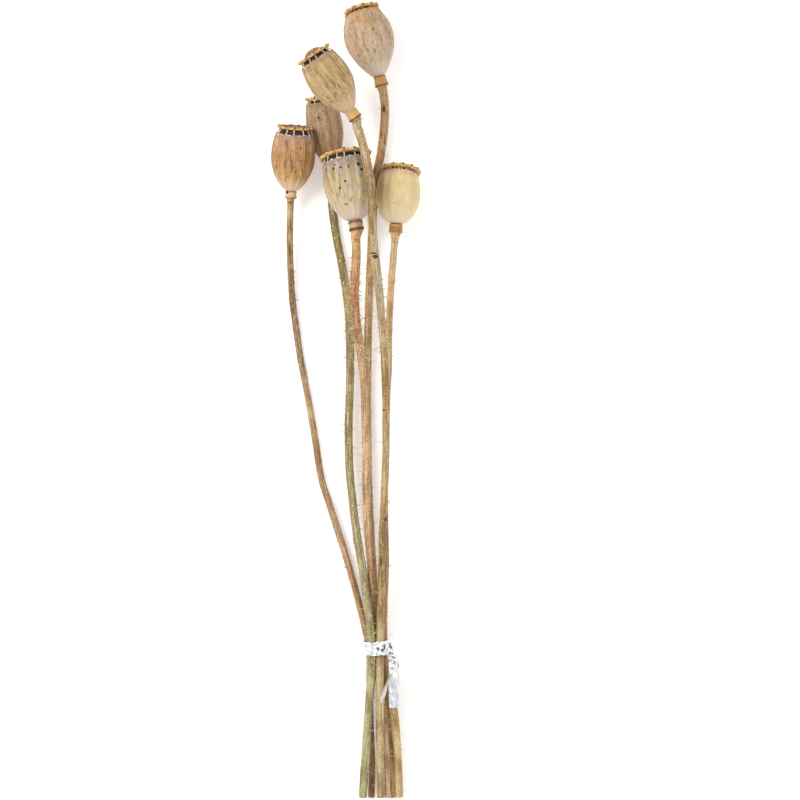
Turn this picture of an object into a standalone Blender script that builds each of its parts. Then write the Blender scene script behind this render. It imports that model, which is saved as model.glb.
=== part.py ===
"""A tied bunch of six dried poppy seed heads, lying on a flat surface.

Each poppy is a bent stem with its collar, a ribbed seed capsule with a ring of
pores, and a scalloped stigma disc. A foil twist tie holds the stems together.
Metres, +Z up, stems along Y with the heads at +Y.
"""

import math

import bmesh
import bpy
from mathutils import Matrix, Vector

MM = 0.001

# Reference picture: how its columns and rows become millimetres on the surface
PICTURE_SCALE = 0.65
PICTURE_MIDDLE = 400
VIEW_HEIGHT = 1250
MIDDLE_X = 34.9
MIDDLE_Y = 0.9

# Driving dimensions in millimetres
GAP = 0.3
FLAT_LEVEL = 0.0
STEM_STEP = 16.0
STEM_SIDES_RESOLUTION = 2
COLLAR_LENGTH = 7.0
NECK_SHARE = 0.80
PORE_HEIGHT = 2.8
PORE_DEPTH = 2.6
PILLAR_SHARE = 0.22
ROOF_INSET = 0.8
DISC_THICKNESS = 1.5
DISC_EDGE = 1.3
DISC_CROWN = 0.3
DISC_RIM_RISE = 0.2
LOBE_LIFT = 0.8
LOBE_NOTCH = 0.10
RAY_HEIGHT = 0.5
FOIL_WIDTH = 6.2
FOIL_THICKNESS = 0.6
FOIL_LAYER = 0.8
FOIL_TURNS = 2.12
FOIL_SPREAD = 4.4
PLEAT_DEPTH = 0.1
KNOT_TWIST = 540
NARROW_TAIL_LEAN = 20

# Steps round the axis for each carpel, between two points of a route, and round a stem
CAPSULE_STEPS = 3
DISC_STEPS = 4
ROUTE_STEPS = 12
ROUND_STEPS = 24

# Each route runs from the cut end to the neck of the head: column, row and height in mm
TOP_ROUTE = [
    (393.5, 797, 2.45), (389, 735, 3.6), (383, 682, 4.9), (379.5, 648, 5.2),
    (375.2, 600, 4.6), (371.3, 545, 3.6), (368.3, 480, 3.2), (367.3, 400, 3.0),
    (368.1, 330, 3.0), (369.8, 280, 2.9), (371.8, 240, 2.9), (373.2, 205, 2.9),
    (376.4, 175, 3.0), (380.6, 155, 3.6), (383.9, 130, 5.8), (384.9, 106, 9.2),
    (382.3, 87, 12.6), (379.3, 76.5, 14.0),
]
LEANING_ROUTE = [
    (381, 797, 9.1), (380, 740, 12.4), (380, 690, 15.2), (380.2, 648, 15.5),
    (381.3, 590, 17.0), (382.4, 535, 19.0), (384.4, 495, 21.3), (386, 435, 25.0),
    (385, 370, 29.3), (381.6, 320, 33.3), (378.2, 282, 36.3), (374.5, 252, 39.0),
    (372.2, 222, 42.2), (370.4, 190, 44.6), (367, 163, 45.6), (362.4, 143, 46.0),
    (358.4, 130, 46.4), (354.6, 120, 46.8), (350.5, 111, 47.3),
]
BEHIND_ROUTE = [
    (362.7, 797, 8.6), (367.5, 727, 12.0), (370.7, 682, 14.4), (371.4, 648, 15.2),
    (369.2, 618, 15.2), (363.2, 573, 13.3), (356.4, 532, 11.3), (351.9, 495, 9.6),
    (349.1, 462, 8.5), (348.6, 425, 7.5), (349.8, 385, 6.6), (350, 345, 5.8),
    (347.8, 305, 4.8), (342.8, 270, 4.0), (336.4, 237, 3.3), (332.6, 210, 3.2),
    (331.6, 190, 3.9), (331.4, 176, 5.3), (331.3, 166, 6.6),
]
LEFT_ROUTE = [
    (371.4, 797, 2.1), (371.8, 765, 2.9), (370, 715, 4.3), (369.6, 685, 5.0),
    (369.6, 652, 5.2), (365.4, 630, 4.9), (357.5, 598, 4.4), (347, 560, 3.8),
    (337.5, 530, 3.4), (328, 500, 3.2), (321.2, 478, 3.0), (315.3, 440, 2.8),
    (308.4, 400, 2.6), (300.8, 360, 2.1), (296, 327, 2.7), (292, 295, 4.2),
    (289.9, 250, 7.4), (290.2, 215, 10.6), (290.6, 198, 12.2), (291, 190.8, 12.9),
]
FRONT_ROUTE = [
    (388, 797, 6.5), (385, 735, 8.3), (380, 688, 9.8), (375.3, 648, 10.2),
    (373.6, 610, 10.3), (371.2, 565, 11.0), (368.3, 530, 12.2), (366.6, 490, 13.6),
    (366.2, 440, 15.6), (365, 395, 18.0), (362.4, 362, 20.0), (358.2, 337, 21.7),
    (354.8, 307, 23.8), (354.8, 283, 25.6), (356, 258, 27.6), (356.1, 245, 28.5),
    (355.4, 232, 29.3), (355.2, 221, 29.9),
]
RIGHT_ROUTE = [
    (399.4, 797, 6.6), (398.2, 762, 6.7), (395.3, 720, 8.4), (390.4, 685, 9.3),
    (384.4, 648, 10.2), (384.2, 605, 10.6), (385.6, 560, 11.0), (384.8, 510, 11.5),
    (385.6, 450, 12.2), (386.6, 405, 12.8), (388.4, 370, 13.2), (389.2, 325, 13.6),
    (391.2, 285, 13.8), (393.2, 258, 14.0), (394.8, 240, 14.0), (395.4, 233, 14.0),
    (396, 224, 13.9),
]

# One entry a poppy. Radii are in mm; the tip is the middle of its disc's underside
POPPIES = [
    {
        "name": "top", "route": TOP_ROUTE, "tip": (361.6, 9.5, 16.6),
        "stem": (2.6, 2.5, 2.8), "collar": 4.3, "belly": 15.6, "belly_at": 0.60,
        "mouth": 10.3, "lower": 0.85, "upper": 0.80, "disc": 11.2,
        "carpels": 12, "rib": 0.020, "roll": 6, "colour": (0.53, 0.42, 0.27),
        "stem_colour": (0.55, 0.33, 0.16),
    },
    {
        "name": "leaning", "route": LEANING_ROUTE, "tip": (314.9, 56.3, 52.5),
        "stem": (2.6, 2.3, 2.8), "collar": 3.9, "belly": 13.3, "belly_at": 0.58,
        "mouth": 10.6, "lower": 0.85, "upper": 0.80, "disc": 11.9,
        "carpels": 13, "rib": 0.035, "roll": 0, "colour": (0.50, 0.37, 0.20),
        "stem_colour": (0.46, 0.38, 0.22),
    },
    {
        "name": "behind", "route": BEHIND_ROUTE, "tip": (320.5, 101.5, 14.8),
        "stem": (2.7, 2.6, 2.7), "collar": 3.6, "belly": 11.2, "belly_at": 0.60,
        "mouth": 8.8, "lower": 0.80, "upper": 0.80, "disc": 9.8,
        "carpels": 12, "rib": 0.035, "roll": 9, "colour": (0.39, 0.27, 0.15),
        "stem_colour": (0.29, 0.28, 0.13),
    },
    {
        "name": "left", "route": LEFT_ROUTE, "tip": (294.7, 129.5, 23.2),
        "stem": (2.2, 2.2, 2.1), "collar": 3.9, "belly": 13.8, "belly_at": 0.57,
        "mouth": 9.9, "lower": 0.66, "upper": 0.75, "disc": 10.4,
        "carpels": 13, "rib": 0.022, "roll": 4, "colour": (0.53, 0.32, 0.15),
        "stem_colour": (0.35, 0.19, 0.08),
    },
    {
        "name": "front", "route": FRONT_ROUTE, "tip": (345.6, 158.0, 28.0),
        "stem": (2.2, 2.8, 2.9), "collar": 4.9, "belly": 16.0, "belly_at": 0.60,
        "mouth": 14.2, "lower": 0.66, "upper": 0.75, "disc": 16.9,
        "carpels": 15, "rib": 0.020, "roll": 0, "colour": (0.66, 0.55, 0.38),
        "stem_colour": (0.62, 0.35, 0.20),
    },
    {
        "name": "right", "route": RIGHT_ROUTE, "tip": (399.6, 169.5, 13.9),
        "stem": (2.5, 2.15, 2.25), "collar": 4.4, "belly": 13.9, "belly_at": 0.52,
        "mouth": 11.8, "lower": 0.54, "upper": 0.70, "disc": 13.4,
        "carpels": 14, "rib": 0.016, "roll": 8, "colour": (0.69, 0.58, 0.31),
        "stem_colour": (0.58, 0.35, 0.17),
    },
]
CAPSULE_ROWS = (0.0, 0.05, 0.13, 0.25, 0.40, 0.56, 0.72, 0.86, 0.95)
TIE_ROW = 648

# Collar rings: share of the collar's length below the neck, share of its radius
COLLAR_ROWS = (
    (0.80, 0.95), (0.62, 0.80), (0.42, 0.97), (0.27, 0.84), (0.12, 1.00), (0.0, 0.82),
)


def placed(column, row, height):
    """The point in metres that the picture shows at this column and row, at this height."""
    shrink = 1 - height / VIEW_HEIGHT
    x = MIDDLE_X + (column - PICTURE_MIDDLE) * PICTURE_SCALE * shrink
    y = MIDDLE_Y + (PICTURE_MIDDLE - row) * PICTURE_SCALE * shrink
    return Vector((x, y, height)) * MM


def clear_scene():
    for item in list(bpy.data.objects):
        bpy.data.objects.remove(item)


def new_collection(name):
    collection = bpy.data.collections.new(name)
    bpy.context.scene.collection.children.link(collection)
    return collection


def new_material(name, colour, roughness, metallic=0.0):
    material = bpy.data.materials.new(name)
    material.use_nodes = True
    shader = material.node_tree.nodes["Principled BSDF"]
    shader.inputs["Base Color"].default_value = (*colour, 1)
    shader.inputs["Roughness"].default_value = roughness
    shader.inputs["Metallic"].default_value = metallic
    return material


def add_object(name, data, collection, material=None):
    item = bpy.data.objects.new(name, data)
    collection.objects.link(item)
    if material:
        data.materials.append(material)
    return item


def plain_mesh(item):
    """The object's evaluated shape as a mesh of its own; the object and its data are removed."""
    bpy.context.view_layer.update()
    graph = bpy.context.evaluated_depsgraph_get()
    mesh = bpy.data.meshes.new_from_object(item.evaluated_get(graph))
    bm = bmesh.new()
    bm.from_mesh(mesh)
    bmesh.ops.remove_doubles(bm, verts=bm.verts, dist=0.001 * MM)
    bm.to_mesh(mesh)
    bm.free()
    bpy.data.objects.remove(item)
    return mesh


def shade(mesh, degrees=40):
    mesh.shade_smooth()
    mesh.set_sharp_from_angle(angle=math.radians(degrees))


def turned_mesh(name, profile, steps, collection):
    """A closed turned mesh. The profile runs down its outer side, in mm as (radius, height)."""
    mesh = bpy.data.meshes.new(name)
    points = [(radius * MM, 0, height * MM) for radius, height in profile]
    mesh.from_pydata(points, [(i, i + 1) for i in range(len(points) - 1)], [])
    item = add_object(name, mesh, collection)
    screw = item.modifiers.new("turn", "SCREW")
    screw.axis = "Z"
    screw.steps = steps
    screw.render_steps = steps
    screw.use_merge_vertices = True
    screw.merge_threshold = 0.01 * MM
    return plain_mesh(item)


def reshape(mesh, moved):
    """Moves every vertex: moved(radius, angle, height) in mm gives a new radius and height."""
    for vertex in mesh.vertices:
        x, y, z = (value / MM for value in vertex.co)
        radius = math.hypot(x, y)
        angle = math.atan2(y, x)
        radius, z = moved(radius, angle, z)
        vertex.co = Vector((radius * math.cos(angle), radius * math.sin(angle), z)) * MM


def smooth_route(route, step):
    """Points about a step apart on the smooth curve through the route's own points."""
    knots = [placed(*point) for point in route]
    knots = [2 * knots[0] - knots[1], *knots, 2 * knots[-1] - knots[-2]]
    fine = []
    for a, b, c, d in zip(knots, knots[1:], knots[2:], knots[3:]):
        for i in range(ROUTE_STEPS):
            t = i / ROUTE_STEPS
            fine.append(0.5 * (2 * b + (c - a) * t + (2 * a - 5 * b + 4 * c - d) * t * t
                               + (3 * b - a - 3 * c + d) * t ** 3))
    fine.append(knots[-2])
    lengths = [0.0]
    for a, b in zip(fine, fine[1:]):
        lengths.append(lengths[-1] + (b - a).length)
    count = max(2, round(lengths[-1] / (step * MM)))
    points = []
    at = 0
    for i in range(count + 1):
        wanted = lengths[-1] * i / count
        while at < len(lengths) - 2 and lengths[at + 1] < wanted:
            at += 1
        share = (wanted - lengths[at]) / (lengths[at + 1] - lengths[at])
        points.append(fine[at].lerp(fine[at + 1], share))
    return points


def head_axis(poppy):
    neck = placed(*poppy["route"][-1])
    return (placed(*poppy["tip"]) - neck).normalized()


def stem_radius(poppy, share):
    """Stem radius in mm, from the cut end (share 0) through the middle to the collar (share 1)."""
    foot, middle, head = poppy["stem"]
    if share < 0.5:
        return foot + (middle - foot) * share * 2
    return middle + (head - middle) * (share - 0.5) * 2


def collar_rings(poppy):
    """The swollen rings where the petals sat: distance below the neck and radius, in mm."""
    rings = [(COLLAR_LENGTH, stem_radius(poppy, 1.0))]
    for below, share in COLLAR_ROWS:
        rings.append((COLLAR_LENGTH * below, poppy["collar"] * share))
    return rings


def make_stem(poppy, collection, floor):
    """A tapering tube along the route, ending in the ringed collar under the capsule."""
    points = smooth_route(poppy["route"], STEM_STEP)
    neck = points[-1]
    axis = head_axis(poppy)
    kept = [p for p in points if (p - neck).length > 1.4 * COLLAR_LENGTH * MM]
    nodes = [(p, stem_radius(poppy, i / len(kept))) for i, p in enumerate(kept)]
    nodes += [(neck - axis * below * MM, radius) for below, radius in collar_rings(poppy)]
    curve = bpy.data.curves.new("stem_" + poppy["name"], "CURVE")
    curve.dimensions = "3D"
    curve.bevel_depth = MM
    curve.bevel_resolution = STEM_SIDES_RESOLUTION
    curve.use_fill_caps = True
    spline = curve.splines.new("POLY")
    spline.points.add(len(nodes) - 1)
    for point, (place, radius) in zip(spline.points, nodes):
        point.co = (*place, 1)
        point.radius = radius
    mesh = plain_mesh(add_object("route", curve, collection))
    shade(mesh, 50)
    material = new_material("stem_" + poppy["name"], poppy["stem_colour"], 0.75)
    item = add_object("stem_" + poppy["name"], mesh, collection, material)
    cut_flat(item, floor)
    return item


def capsule_radius(poppy, share):
    """Outer radius in mm between the neck (share 0) and the mouth under the disc (share 1)."""
    neck = poppy["collar"] * NECK_SHARE
    belly = poppy["belly"]
    at = poppy["belly_at"]
    if share < at:
        rise = math.sin(math.pi / 2 * share / at) ** poppy["lower"]
        return neck + (belly - neck) * rise
    fall = math.cos(math.pi / 2 * (share - at) / (1 - at)) ** poppy["upper"]
    return poppy["mouth"] + (belly - poppy["mouth"]) * fall


def capsule_length(poppy):
    """From the capsule's foot, a gap above the collar, to the tops of its pillars, in mm."""
    neck = placed(*poppy["route"][-1])
    return (placed(*poppy["tip"]) - neck).length / MM - 2 * GAP


def head_matrix(poppy, along):
    """Places a piece whose own +Z is the head's axis, this many mm past the neck."""
    axis = head_axis(poppy)
    turn = axis.to_track_quat("Z", "X").to_matrix().to_4x4()
    roll = Matrix.Rotation(math.radians(poppy["roll"]), 4, "Z")
    start = placed(*poppy["route"][-1]) + axis * along * MM
    return Matrix.Translation(start) @ turn @ roll


def make_pore_cutter(poppy, length, cutters):
    """One wedge for each pore, between neighbouring pillars, open at the capsule's top."""
    bm = bmesh.new()
    carpel = 2 * math.pi / poppy["carpels"]
    inner = poppy["mouth"] - PORE_DEPTH
    outer = poppy["mouth"] * 1.25
    for i in range(poppy["carpels"]):
        middle = (i + 0.5) * carpel
        half = carpel * (1 - PILLAR_SHARE) / 2
        wedge = bmesh.ops.create_cube(bm, size=2)
        for vertex in wedge["verts"]:
            radius = outer if vertex.co.x > 0 else inner
            angle = middle + half * vertex.co.y
            height = length + 1.0 if vertex.co.z > 0 else length - PORE_HEIGHT
            vertex.co = Vector((radius * math.cos(angle), radius * math.sin(angle), height)) * MM
    mesh = bpy.data.meshes.new("pores_" + poppy["name"])
    bm.to_mesh(mesh)
    bm.free()
    return hidden_cutter(mesh, cutters)


def hidden_cutter(mesh, cutters):
    cutter = add_object(mesh.name, mesh, cutters)
    cutter.hide_render = True
    cutter.display_type = "WIRE"
    return cutter


def subtract(item, cutter):
    cut = item.modifiers.new(cutter.name, "BOOLEAN")
    cut.operation = "DIFFERENCE"
    cut.solver = "EXACT"
    cut.object = cutter


def cut_flat(item, floor):
    """A small flat where a piece's lowest side would reach below the surface it lies on."""
    bpy.context.view_layer.update()
    lowest = min((item.matrix_world @ v.co).z for v in item.data.vertices)
    if lowest < FLAT_LEVEL:
        subtract(item, floor)


def make_capsule(poppy, collection, cutters, floor):
    """A ribbed urn on the head's axis, with a ring of pores and pillars under its mouth."""
    length = capsule_length(poppy)
    rows = [(capsule_radius(poppy, share), share * length) for share in CAPSULE_ROWS]
    roof = poppy["mouth"] - PORE_DEPTH - ROOF_INSET
    profile = [(0, length), (roof, length), (poppy["mouth"], length)]
    profile += [(radius, height) for radius, height in reversed(rows)] + [(0, 0)]
    steps = poppy["carpels"] * CAPSULE_STEPS
    name = "capsule_" + poppy["name"]
    mesh = turned_mesh(name, profile, steps, collection)

    def ribbed(radius, angle, height):
        share = min(max(height / length, 0), 1)
        swell = poppy["rib"] * math.sin(math.pi * share) ** 0.5
        return radius * (1 + swell * math.cos(poppy["carpels"] * angle)), height

    reshape(mesh, ribbed)
    shade(mesh)
    item = add_object(name, mesh, collection, new_material(name, poppy["colour"], 0.8))
    item.matrix_world = head_matrix(poppy, GAP)
    cutter = make_pore_cutter(poppy, length, cutters)
    cutter.matrix_world = item.matrix_world
    subtract(item, cutter)
    cut_flat(item, floor)
    return item


def make_disc(poppy, collection, material, floor):
    """The stigma disc: one raised ray and one upturned lobe over each pillar."""
    radius = poppy["disc"]
    carpels = poppy["carpels"]
    profile = [
        (0, DISC_THICKNESS + DISC_CROWN),
        (radius * 0.40, DISC_THICKNESS),
        (radius * 0.78, DISC_THICKNESS * 0.85),
        (radius, DISC_THICKNESS + DISC_RIM_RISE),
        (radius, DISC_THICKNESS + DISC_RIM_RISE - DISC_EDGE),
        (radius * 0.80, 0),
        (0, 0),
    ]
    name = "stigma_disc_" + poppy["name"]
    mesh = turned_mesh(name, profile, carpels * DISC_STEPS, collection)

    def scalloped(r, angle, height):
        wave = math.cos(carpels * angle)
        out = min(r / radius, 1.0)
        if height > DISC_THICKNESS * 0.5:
            height += RAY_HEIGHT * wave * math.sin(math.pi * min(out / 0.95, 1))
        if out > 0.9:
            height += LOBE_LIFT * (1 + wave) / 2
            r *= 1 - LOBE_NOTCH * (1 - wave) / 2
        return r, height

    reshape(mesh, scalloped)
    shade(mesh, 30)
    item = add_object(name, mesh, collection, material)
    item.matrix_world = head_matrix(poppy, capsule_length(poppy) + 2 * GAP)
    cut_flat(item, floor)
    return item


def stem_under_tie(poppy, tie_y):
    """The stem's middle where the tie covers it, as x and z in mm, with its radius there."""
    points = smooth_route(poppy["route"], 1.0)
    covered = []
    for i, point in enumerate(points):
        if abs(point.y / MM - tie_y) < FOIL_WIDTH:
            covered.append((point.x / MM, point.z / MM, stem_radius(poppy, i / len(points))))
    return covered


def hull(points):
    """The convex outline of 2D points, anticlockwise."""
    points = sorted(set(points))

    def half(ordered):
        chain = []
        for p in ordered:
            while len(chain) > 1:
                (ax, az), (bx, bz) = chain[-2], chain[-1]
                if (bx - ax) * (p[1] - az) - (bz - az) * (p[0] - ax) > 0:
                    break
                chain.pop()
            chain.append(p)
        return chain[:-1]

    return half(points) + half(points[::-1])


def wrap_outline(tie_y):
    """The closed outline of a foil pulled tight round the six stems, as x and z in mm."""
    ring = []
    for poppy in POPPIES:
        for x, z, radius in stem_under_tie(poppy, tie_y):
            reach = radius + FOIL_THICKNESS / 2 + GAP
            for i in range(ROUND_STEPS):
                angle = 2 * math.pi * i / ROUND_STEPS
                ring.append((x + reach * math.cos(angle), z + reach * math.sin(angle)))
    return hull(ring)


def around(outline, turns):
    """The point and outward direction at this many turns round the outline, from its right side."""
    count = len(outline)
    middle_x = sum(x for x, _ in outline) / count
    middle_z = sum(z for _, z in outline) / count
    angle = 2 * math.pi * turns
    outward = Vector((math.cos(angle), 0, math.sin(angle)))
    reach = 0.0
    for (ax, az), (bx, bz) in zip(outline, outline[1:] + outline[:1]):
        nx, nz = bz - az, ax - bx
        slope = nx * outward.x + nz * outward.z
        if slope > 1e-9:
            distance = (nx * (ax - middle_x) + nz * (az - middle_z)) / slope
            reach = min(reach, distance) if reach else distance
    return Vector((middle_x, 0, middle_z)) + outward * reach, outward


def foil_strip(name, steps, placing, collection):
    """A strip of foil: placing(share along, share across) gives its surface in mm."""
    bm = bmesh.new()
    bmesh.ops.create_grid(bm, x_segments=steps, y_segments=2, size=1)
    for vertex in bm.verts:
        vertex.co = placing((vertex.co.x + 1) / 2, vertex.co.y) * MM
    mesh = bpy.data.meshes.new(name)
    bm.to_mesh(mesh)
    bm.free()
    item = add_object(name, mesh, collection)
    solid = item.modifiers.new("thickness", "SOLIDIFY")
    solid.thickness = FOIL_THICKNESS * MM
    solid.offset = 0
    mesh = plain_mesh(item)
    bm = bmesh.new()
    bm.from_mesh(mesh)
    bmesh.ops.recalc_face_normals(bm, faces=bm.faces)
    bm.to_mesh(mesh)
    bm.free()
    return mesh


def make_tie(collection, cutters):
    """A flat foil strip wound round the stems, twisted at their right, with two free tails."""
    tie_y = placed(PICTURE_MIDDLE, TIE_ROW, 10).y / MM
    outline = wrap_outline(tie_y)
    point, outward = around(outline, FOIL_TURNS)
    end = point + outward * FOIL_LAYER * FOIL_TURNS
    end.y = tie_y

    def wound(along, across):
        """Each turn lies on the one before and a little below it; the pleats are slight."""
        turns = along * FOIL_TURNS
        point, outward = around(outline, turns)
        point += outward * (FOIL_LAYER * turns + PLEAT_DEPTH * math.cos(14 * math.pi * turns))
        middle = tie_y + FOIL_SPREAD * (0.5 - along) + 3 * PLEAT_DEPTH * math.sin(9 * turns)
        point.y = middle + across * FOIL_WIDTH / 2
        return point

    def knot(along, across):
        """The two ends twisted together, one and a half turns."""
        angle = math.radians(KNOT_TWIST) * along
        centre = end + Vector((0.2 + 4.4 * along, -1 - 9 * along, 0.6 - 2.9 * along))
        spread = Vector((math.sin(angle), 0, math.cos(angle)))
        return centre + spread * across * (1.4 + 1.1 * math.sin(math.pi * along))

    def broad_tail(along, across):
        """Lies flat over the stems, past the knot."""
        centre = end + Vector((4.0, -8 - 30 * along, -2.2 - 0.5 * along))
        return centre + Vector((across * FOIL_WIDTH / 2, 0, 0.4 * math.sin(5 * along)))

    def narrow_tail(along, across):
        """Stands on its edge and points away over the stems, to the left."""
        centre = end + Vector((2.6 - 6.8 * along, -14 - 19 * along, -2.5 + 9.3 * along))
        lean = math.radians(NARROW_TAIL_LEAN)
        spread = Vector((math.sin(lean), 0, math.cos(lean)))
        return centre + spread * across * (1.2 + 1.9 * along)

    pieces = [
        foil_strip("twist_tie", 60, wound, collection),
        foil_strip("knot", 12, knot, collection),
        foil_strip("broad_tail", 6, broad_tail, collection),
        foil_strip("narrow_tail", 5, narrow_tail, collection),
    ]
    item = add_object("twist_tie", pieces[0], collection,
                      new_material("twist_tie", (0.75, 0.76, 0.78), 0.25, 1.0))
    for mesh in pieces[1:]:
        other = hidden_cutter(mesh, cutters)
        join = item.modifiers.new(mesh.name, "BOOLEAN")
        join.operation = "UNION"
        join.solver = "EXACT"
        join.object = other
    return item


def make_floor(cutters):
    """What lies below the surface, used to cut the small flats that the bunch rests on."""
    bm = bmesh.new()
    bmesh.ops.create_cube(bm, size=1)
    for vertex in bm.verts:
        vertex.co = Vector((vertex.co.x, vertex.co.y, (vertex.co.z - 0.5) * 0.05))
        vertex.co.z += FLAT_LEVEL * MM
    mesh = bpy.data.meshes.new("below_surface")
    bm.to_mesh(mesh)
    bm.free()
    return hidden_cutter(mesh, cutters)


def build():
    clear_scene()
    bunch = new_collection("poppy_seed_heads")
    cutters = new_collection("cutters")
    floor = make_floor(cutters)
    disc_material = new_material("stigma_disc", (0.42, 0.22, 0.06), 0.7)
    for poppy in POPPIES:
        make_stem(poppy, bunch, floor)
        make_capsule(poppy, bunch, cutters, floor)
        make_disc(poppy, bunch, disc_material, floor)
    make_tie(bunch, cutters)


build()
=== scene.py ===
"""Looks of a tied bunch of six dried poppy seed heads, lying on a pale surface.

Each stem, capsule and stigma disc of the frame gets a finer piece of the same form, with its
bristles, pores, seams and rays. Metres, +Z up, heads at +Y.
"""

import math

import bmesh
import bpy
from mathutils import Matrix, Vector, noise


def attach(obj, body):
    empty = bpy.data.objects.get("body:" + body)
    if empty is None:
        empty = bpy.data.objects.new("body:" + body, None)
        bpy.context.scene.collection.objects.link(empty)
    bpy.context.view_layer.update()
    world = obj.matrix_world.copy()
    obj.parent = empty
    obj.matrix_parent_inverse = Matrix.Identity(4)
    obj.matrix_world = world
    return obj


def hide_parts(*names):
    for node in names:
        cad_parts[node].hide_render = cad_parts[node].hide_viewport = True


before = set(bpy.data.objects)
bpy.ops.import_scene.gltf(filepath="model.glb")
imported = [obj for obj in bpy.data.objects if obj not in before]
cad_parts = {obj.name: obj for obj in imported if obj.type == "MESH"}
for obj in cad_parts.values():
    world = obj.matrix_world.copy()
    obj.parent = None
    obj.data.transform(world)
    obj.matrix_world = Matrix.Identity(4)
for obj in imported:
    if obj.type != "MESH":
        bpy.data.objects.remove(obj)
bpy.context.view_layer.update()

MM = 0.001
FULL_TURN = 2 * math.pi

# Reference picture: how its columns and rows become millimetres on the surface
PICTURE_SCALE = 0.65
PICTURE_MIDDLE = 400
VIEW_HEIGHT = 1250
MIDDLE_X = 34.9
MIDDLE_Y = 0.9

# Stems and heads, in mm. NECK_SHARE and LOBE_NOTCH are shares of a radius
HALF_LENGTH = 257
GAP = 0.3
COLLAR_LENGTH = 7.0
CUFF_FUNNEL = 4.0
NECK_SHARE = 0.80
FLUTE_DEPTH = 0.05
SEAM_HEIGHT = 0.16
DENT_DEPTH = 0.6
PORE_DEPTH = 0.9
PILLAR_WIDTH = 0.7
DISC_THICKNESS = 1.5
DISC_EDGE = 1.4
LOBE_LIFT = 0.35
LOBE_NOTCH = 0.06
RAY_HEIGHT = 0.5
HAIR_LENGTH = 4.2
HAIR_THICKNESS = 0.42

# Where a rib's two lines and a disc's rays lie, as shares of the space between two ribs
SEAM_PLACE = 0.09
RAY_HALF = 0.17

# A stem's skin in square metres, over which its bristles are spread
STEM_SKIN = 0.0075

# The foil: sizes in mm, turns, angles in radians and the picture's row. SOLID_FOIL is how thick it
# is in the solids, which sets how it lies on the stems, and FOIL_SHEET how thick it is drawn here
FOIL_WIDTH = 6.2
SOLID_FOIL = 0.6
FOIL_SHEET = 0.25
FOIL_LAYER = 0.8
FOIL_TURNS = 2.12
FOIL_SPREAD = 4.4
KNOT_TWIST = math.radians(540)
TAIL_LEAN = math.radians(20)
TIE_ROW = 648
TIE_HEIGHT = 10

# Without a seed of its own, mathutils noise takes the clock's, and the folds differ each run
FOIL_SEED = 1795850933

# How finely the pieces are divided: steps in mm, and counts
STEM_STEP = 2.5
COLLAR_STEP = 0.18
STEM_SIDES = 48
CARPEL_STEPS = 16
PROFILE_STEPS = 60
WALL_ROWS = 110
DISC_ROWS = 60

# Nodes that come often
SPLIT = "ShaderNodeSeparateXYZ"
JOIN = "ShaderNodeCombineXYZ"
NOISE = "ShaderNodeTexNoise"
CELLS = "ShaderNodeTexVoronoi"
PLACE = "GeometryNodeInputPosition"
STORE = "GeometryNodeStoreNamedAttribute"
STORED = "GeometryNodeInputNamedAttribute"
CIRCLE = "GeometryNodeCurvePrimitiveCircle"
SWEEP = "GeometryNodeCurveToMesh"
MOVE = "GeometryNodeSetPosition"
RANDOM = "FunctionNodeRandomValue"
TO_TURN = "FunctionNodeEulerToRotation"
COPIES = "GeometryNodeInstanceOnPoints"

# What the Math and Vector Math nodes do
PLUS = ("ShaderNodeMath", "ADD")
MINUS = ("ShaderNodeMath", "SUBTRACT")
TIMES = ("ShaderNodeMath", "MULTIPLY")
TIMES_PLUS = ("ShaderNodeMath", "MULTIPLY_ADD")
OVER = ("ShaderNodeMath", "DIVIDE")
POWER = ("ShaderNodeMath", "POWER")
ABSOLUTE = ("ShaderNodeMath", "ABSOLUTE")
ABOVE = ("ShaderNodeMath", "GREATER_THAN")
SINE = ("ShaderNodeMath", "SINE")
COSINE = ("ShaderNodeMath", "COSINE")
ARCTAN2 = ("ShaderNodeMath", "ARCTAN2")
EXPONENT = ("ShaderNodeMath", "EXPONENT")
PINGPONG = ("ShaderNodeMath", "PINGPONG")
V_PLUS = ("ShaderNodeVectorMath", "ADD")
V_MINUS = ("ShaderNodeVectorMath", "SUBTRACT")
V_TIMES = ("ShaderNodeVectorMath", "MULTIPLY")
V_SCALE = ("ShaderNodeVectorMath", "SCALE")
V_LENGTH = ("ShaderNodeVectorMath", "LENGTH")

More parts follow.
